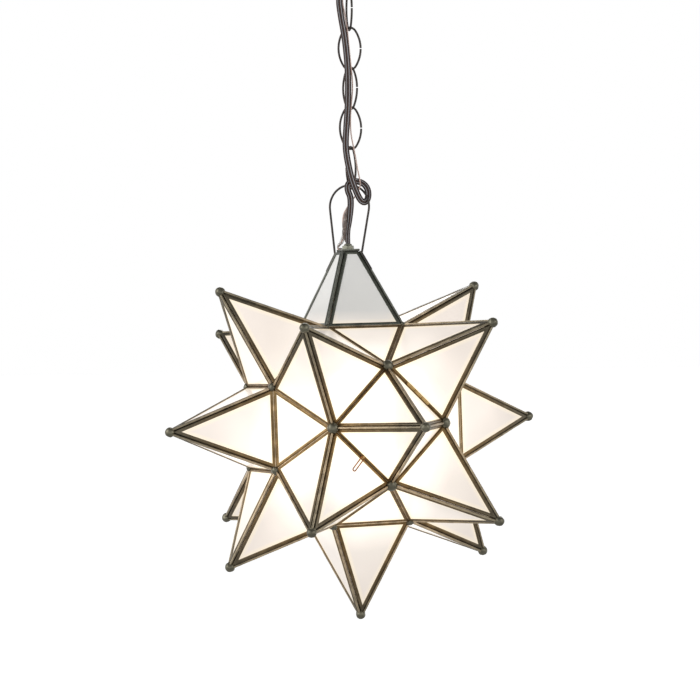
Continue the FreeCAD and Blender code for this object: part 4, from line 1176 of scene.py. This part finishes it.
class PENDANT_OT_lamp(bpy.types.Operator):
    """The lamp holder on the stem's end and the bulb in it"""

    bl_idname = "pendant.lamp"
    bl_label = "Lamp holder and bulb"

    def execute(self, context):
        for name, profile, corner, top, node in (
            ("holder_dome", HOLDER_CAP, 1.2, HOLDER_TOP, "holder_cap"),
            ("holder_sleeve", HOLDER_SHELL, 0.6, HOLDER_SEAT, "holder_shell"),
        ):
            grid = turned(rounded(profile, corner) + (0, top))
            star_piece(name, grid, "lamp_brass", node, "holder_brass", loop=True)
        low, high = SOCKET_TOP, HOLDER_SEAT - 0.1
        block = rounded([(0, low), (15.5, low), (15.5, high), (0, high)], [0, 0.6, 0.6, 0])
        socket = threaded(radius=14.2, bore=13.4, top=SOCKET_TOP, bottom=SOCKET_TOP - 27.0, pitch=BASE_PITCH,
                          depth=0.3)
        base = turned(base_profile() + (0, BASE_TOP))
        bulb = turned(bulb_profile() + (0, BASE_TOP - BASE_HEIGHT))
        star_piece("holder_block", turned(block), "glazed_insulator", "holder_insulator", "insulator")
        star_piece("screw_socket", socket, "zinc_plate", "holder_screw_shell", "bulb_base", loop=True,
                   sharp=60)
        star_piece("lamp_screw_base", base, "zinc_plate", "bulb_base", "bulb_base")
        star_piece("frosted_bulb", bulb, "bulb_frosting", "bulb_glass", "bulb_glass", loop=True, sharp=60)
        return {"FINISHED"}


# ---- ceiling fitting ----
COLLAR = [(CANOPY_BORE, -24), (11, -24), (11, -26.2), (10.2, -27), (10.2, -28), (11, -28.8), (10.6, -31.2),
          (8.4, -33), (CANOPY_BORE, -33)]
COLLAR_CORNERS = [0, 0.7, 0.5, 0.5, 0.5, 0.7, 1.5, 1.5, 0]


def canopy_profile():
    """The canopy, outside and then inside: below a straight rim the radius is bore + (R - bore) cos(a)^0.62
    and the height -D (0.25 + 0.75 sin(a)^1.25), a from the rim to the bore. The inside lies higher by
    the wall and narrower by it, less and less towards the bore."""
    r, d, t, bore = CANOPY_RADIUS, CANOPY_DEPTH, CANOPY_WALL, CANOPY_BORE
    a = np.linspace(0, np.pi / 2, 26)
    curve = np.stack([bore + (r - bore) * np.cos(a) ** 0.62, -d * 0.25 - d * 0.75 * np.sin(a) ** 1.25], -1)
    outer = np.concatenate([[(r - 0.2, 0.0), (r, -0.3), (r, -3.0)], curve])
    outer[-1] = (bore, -d)
    inner = outer[::-1] + (0, t)
    narrow = np.maximum(inner[:, 0] - t * np.clip((inner[:, 0] - bore) / 20, 0, 1), bore)
    return np.concatenate([outer, np.stack([narrow, np.minimum(inner[:, 1], 0)], -1)])


def loop_path():
    """The collar's loop: two straight legs and the half circle between their feet."""
    leg = np.array([(LOOP_RADIUS, 0, height) for height in (-31.2, -34, -37)])
    bow = arc((0, 0, LOOP_MIDDLE), LOOP_RADIUS, 0, -180, 40)
    return np.concatenate([leg, bow, (leg * (-1, 1, 1))[::-1]])


class PENDANT_OT_ceiling(bpy.types.Operator):
    """The canopy with its nipple, nuts, collar and loop"""

    bl_idname = "pendant.ceiling"
    bl_label = "Canopy and collar"

    def execute(self, context):
        nipple = threaded(radius=CANOPY_BORE - 0.05, bore=3.5, top=-0.4, bottom=-30.0, pitch=1.0, depth=0.3)
        nuts = [hex_nut(flats=14.0, bore=CANOPY_BORE, bottom=bottom, height=3.0) for bottom in (-5.0, -22.8)]
        collar = turned(rounded(COLLAR, COLLAR_CORNERS, 5))
        matrix = turn_z(LINK_TURNS[0] + 90)
        wire = sweep(loop_path() @ matrix.T, ring(1.7, 20), matrix @ (0, 1, 0), end=0.4)
        ceiling_piece("round_canopy", turned(canopy_profile(), 96), "canopy_bronze", "canopy_shell", "canopy",
                      loop=True, sharp=50)
        ceiling_piece("threaded_nipple", nipple, "zinc_plate", "canopy_nipple", "zinc_steel", loop=True,
                      sharp=60)
        ceiling_piece("nipple_nuts", nuts, "zinc_plate", "canopy_locknuts", "zinc_steel", loop=True)
        ceiling_piece("turned_collar", collar, "canopy_bronze", "collar_loop", "canopy", loop=True)
        ceiling_piece("loop_wire", wire, "canopy_bronze", "collar_loop", "canopy")
        return {"FINISHED"}


# ---- hinge and pull: (radius, height) profiles about their own middle ----
BARREL = np.array([(0.65, -4.5), (1.3, -4.5), (ROLL_RADIUS, -4.3), (ROLL_RADIUS, 4.3), (1.3, 4.5),
                   (0.65, 4.5)])
PIN = [(0, -13.8), (0.4, -13.8), (0.6, -13.6), (0.6, 13.85), (1.0, 13.85), (1.1, 14.0), (1.05, 14.4),
       (0.6, 14.65), (0, 14.65)]
EYE = [(0.6, 0.75), (EYE_RADIUS, 0.75), (EYE_RADIUS, -0.75), (0.6, -0.75)]


def valley_frame(facing):
    """(middle of a side of the door's square, way up the door's pane, way up the neighbour's pane, way
    along the side)."""
    out = AXES[0]
    middle = out * CORE + facing * (SIDE / 2)
    next_tip = unit(out + facing) * TIP
    return middle, unit(out * TIP - middle), unit(next_tip - middle), unit(np.cross(out, facing))


def on_pin(profile, point, along):
    """A turned shape of its profile, put at a point with its axis along a direction."""
    return turned(profile, 32) @ to_direction(along).T + point


def pull_outline(half_width=1.45, length=14.55, corner=PULL_WIRE):
    """The pull's closed outline as (across, down): two straight sides, a half circle at their foot and a
    quarter circle at each head."""
    bend, turn = np.linspace(0, np.pi, 20), np.linspace(np.pi, 1.5 * np.pi, 6)
    foot = np.stack([half_width * np.cos(bend), length + half_width * np.sin(bend)], -1)
    head = np.stack([corner - half_width + corner * np.cos(turn), corner + corner * np.sin(turn)], -1)
    down = np.linspace(corner, length, 24)
    side = np.stack([0 * down + half_width, down], -1)
    return np.concatenate([side[:-1], foot, (side * (-1, 1))[::-1][1:-1], head, (head * (-1, 1))[::-1]])


class PENDANT_OT_hinge(bpy.types.Operator):
    """The door's hinge and its pull"""

    bl_idname = "pendant.hinge"
    bl_label = "Hinge and pull"

    def execute(self, context):
        middle, door_way, star_way, along = valley_frame(AXES[1])
        off = (CHANNEL_DEPTH / 2 + ROLL_RADIUS + SEAM) / math.sin(2 * VALLEY_HALF)
        point = middle + (door_way + star_way) * off
        rolls = [on_pin(BARREL + (0, k * ROLL_PITCH), point, along) for k in (-1, 0, 1)]
        middle, door_way, star_way, side = valley_frame(-AXES[1])
        eye = middle + door_way * EYE_RISE + star_way * (CHANNEL_DEPTH / 2 + EYE_RADIUS + SEAM)
        tilt = math.asin((EYE_RISE - GLASS_THICKNESS / 2 - PULL_WIRE - 0.1) / PULL_REACH)
        down = star_way * math.cos(tilt) - door_way * math.sin(tilt)
        outline = pull_outline()
        path = eye + outline[:, :1] * side + outline[:, 1:] * down
        pull = sweep(path, ring(PULL_WIRE, 14), np.cross(side, down), loop=True)
        eyelet = on_pin(rounded(EYE, 0.25), eye, side)
        brass = "worn_hinge_brass"
        star_piece("star_rolls", [rolls[0], rolls[2]], brass, "star_knuckles", "hinge_brass", loop=True)
        star_piece("door_roll", rolls[1], brass, "door_knuckle", "hinge_brass", "door", loop=True)
        star_piece("headed_pin", on_pin(PIN, point, along), brass, "hinge_pin", "hinge_brass", "door")
        star_piece("wire_eyelet", eyelet, brass, "pull_eyelet", "hinge_brass", "door", loop=True)
        star_piece("pull_wire", pull, "pull_copper", "pull_loop", "hinge_brass", "pull", loop=True)
        return {"FINISHED"}


# ---- the frame's own nodes ----
FINISH_OF_SLOT = {
    "star_glass": "milk_glass", "channels": "channel_patina", "solder": "drop_solder",
    "chain_wire": "blackened_wire", "canopy": "canopy_bronze", "zinc_steel": "zinc_plate",
    "pewter_brass": "dull_pewter", "holder_brass": "lamp_brass", "insulator": "glazed_insulator",
    "bulb_base": "zinc_plate", "bulb_glass": "bulb_frosting", "hinge_brass": "worn_hinge_brass",
    "cord_jacket": "twin_cord_jacket", "ground_jacket": "ground_sleeve",
}


class PENDANT_OT_carried_finishes(bpy.types.Operator):
    """The finishes of the frame's own nodes, one for each material slot of the record"""

    bl_idname = "pendant.carried_finishes"
    bl_label = "Finishes of the frame"

    def execute(self, context):
        for node in frame["nodes"].values():
            slot = node.data.materials[0].name.split(".")[0]
            node.data.materials[0] = finishes()[FINISH_OF_SLOT[slot]]
        return {"FINISHED"}


# ---- stage ----
def place(thing, turn, spot):
    """Puts a camera or a light at a spot, turned by a matrix."""
    matrix = np.eye(4)
    matrix[:3, :3], matrix[:3, 3] = turn, spot
    thing.matrix_world = matrix.T


def aim_camera(scene, centre):
    """A camera that looks at the star from the front, a little from above and slightly rolled."""
    rise = math.radians(CAMERA_RISE)
    right, back = np.array([1.0, 0, 0]), np.array([0, -math.cos(rise), math.sin(rise)])
    turn = np.stack([right, np.cross(back, right), back], axis=1) @ turn_z(CAMERA_ROLL)
    camera = bpy.data.cameras.new("camera")
    camera.lens, camera.sensor_width = CAMERA_LENS, CAMERA_SENSOR
    camera.shift_x, camera.shift_y = CAMERA_SHIFT
    scene.camera = add("camera", camera)
    place(scene.camera, turn, centre + back * CAMERA_DISTANCE)


def lay_floor():
    """A round pale floor, whose paint glows far out, so that it ends without a horizon."""
    sides = 64
    floor = bpy.data.meshes.new("floor")
    floor.from_pydata(about_z(FLOOR_RADIUS, round_steps(sides), FLOOR_HEIGHT), [], [list(range(sides))])
    paint = Finish("floor_paint", Roughness=0.7, Emission_Color=(1.0, 1.0, 1.0))
    paint.set(Base_Color=paint.ramp(paint.noise(0.8, 4.0), (0.3, 0.86), (0.7, 0.9)),
              Emission_Strength=paint.span(paint.distance((0, 0, 0)), 3.0, 9.0, 0.0, 0.62))
    floor.materials.append(paint.owner)
    add("floor", floor)


def light_room(scene, centre):
    """A sky that is white below and greyer above, and soft lights that face the star."""
    scene.world = scene.world or bpy.data.worlds.new("studio")
    sky = Finish(scene.world, "Background", Strength=1.0)
    height = sky.node("SeparateXYZ", [sky.coordinates["Generated"]]).outputs["Z"]
    sky.set(Color=sky.ramp(sky.span(height, 0.18, 0.8), (0.0, 1.0), (1.0, 0.3)))
    for name, (spot, width, power) in LIGHTS.items():
        light = bpy.data.lights.new(name, "AREA")
        light.energy, light.size = power, width
        place(add(name, light), to_direction(np.array(spot) - centre), spot)


class PENDANT_OT_studio(bpy.types.Operator):
    """Pale floor, soft light and the camera"""

    bl_idname = "pendant.studio"
    bl_label = "Studio"

    def execute(self, context):
        scene = context.scene
        scene.view_settings.view_transform = "Standard"
        aim_camera(scene, STAR_ORIGIN * MM)
        lay_floor()
        light_room(scene, STAR_ORIGIN * MM)
        return {"FINISHED"}


class PENDANT_PT_panel(bpy.types.Panel):
    """Lists the sizes, the colours and the pieces of the pendant"""

    bl_idname = "PENDANT_PT_panel"
    bl_label = "Glass star pendant"
    bl_space_type = "VIEW_3D"
    bl_region_type = "UI"
    bl_category = "Star"

    def draw(self, context):
        for group in (context.scene.pendant_sizes, context.scene.pendant_colours):
            for name in group.bl_rna.properties.keys():
                if name not in ("rna_type", "name"):
                    self.layout.prop(group, name)
        for operator in OPERATORS:
            self.layout.operator(operator.bl_idname)


OPERATORS = (
    PENDANT_OT_studio,
    PENDANT_OT_power_cord,
    PENDANT_OT_ground_wire,
    PENDANT_OT_loose_strands,
    PENDANT_OT_chain,
    PENDANT_OT_bail,
    PENDANT_OT_glass,
    PENDANT_OT_channels,
    PENDANT_OT_seams,
    PENDANT_OT_solder,
    PENDANT_OT_stem,
    PENDANT_OT_lamp,
    PENDANT_OT_ceiling,
    PENDANT_OT_hinge,
    PENDANT_OT_carried_finishes,
)
CLASSES = (PendantSizes, PendantColours, *OPERATORS, PENDANT_PT_panel)


def register():
    """Makes the classes and their settings known to Blender."""
    for made in CLASSES:
        bpy.utils.register_class(made)
    bpy.types.Scene.pendant_sizes = bpy.props.PointerProperty(type=PendantSizes)
    bpy.types.Scene.pendant_colours = bpy.props.PointerProperty(type=PendantColours)


def unregister():
    """Takes them away again."""
    del bpy.types.Scene.pendant_colours
    del bpy.types.Scene.pendant_sizes
    for made in reversed(CLASSES):
        bpy.utils.unregister_class(made)


def main():
    """Dresses the frame."""
    register()
    for operator in OPERATORS:
        group, name = operator.bl_idname.split(".")
        getattr(getattr(bpy.ops, group), name)()


if __name__ == "__main__":
    main()
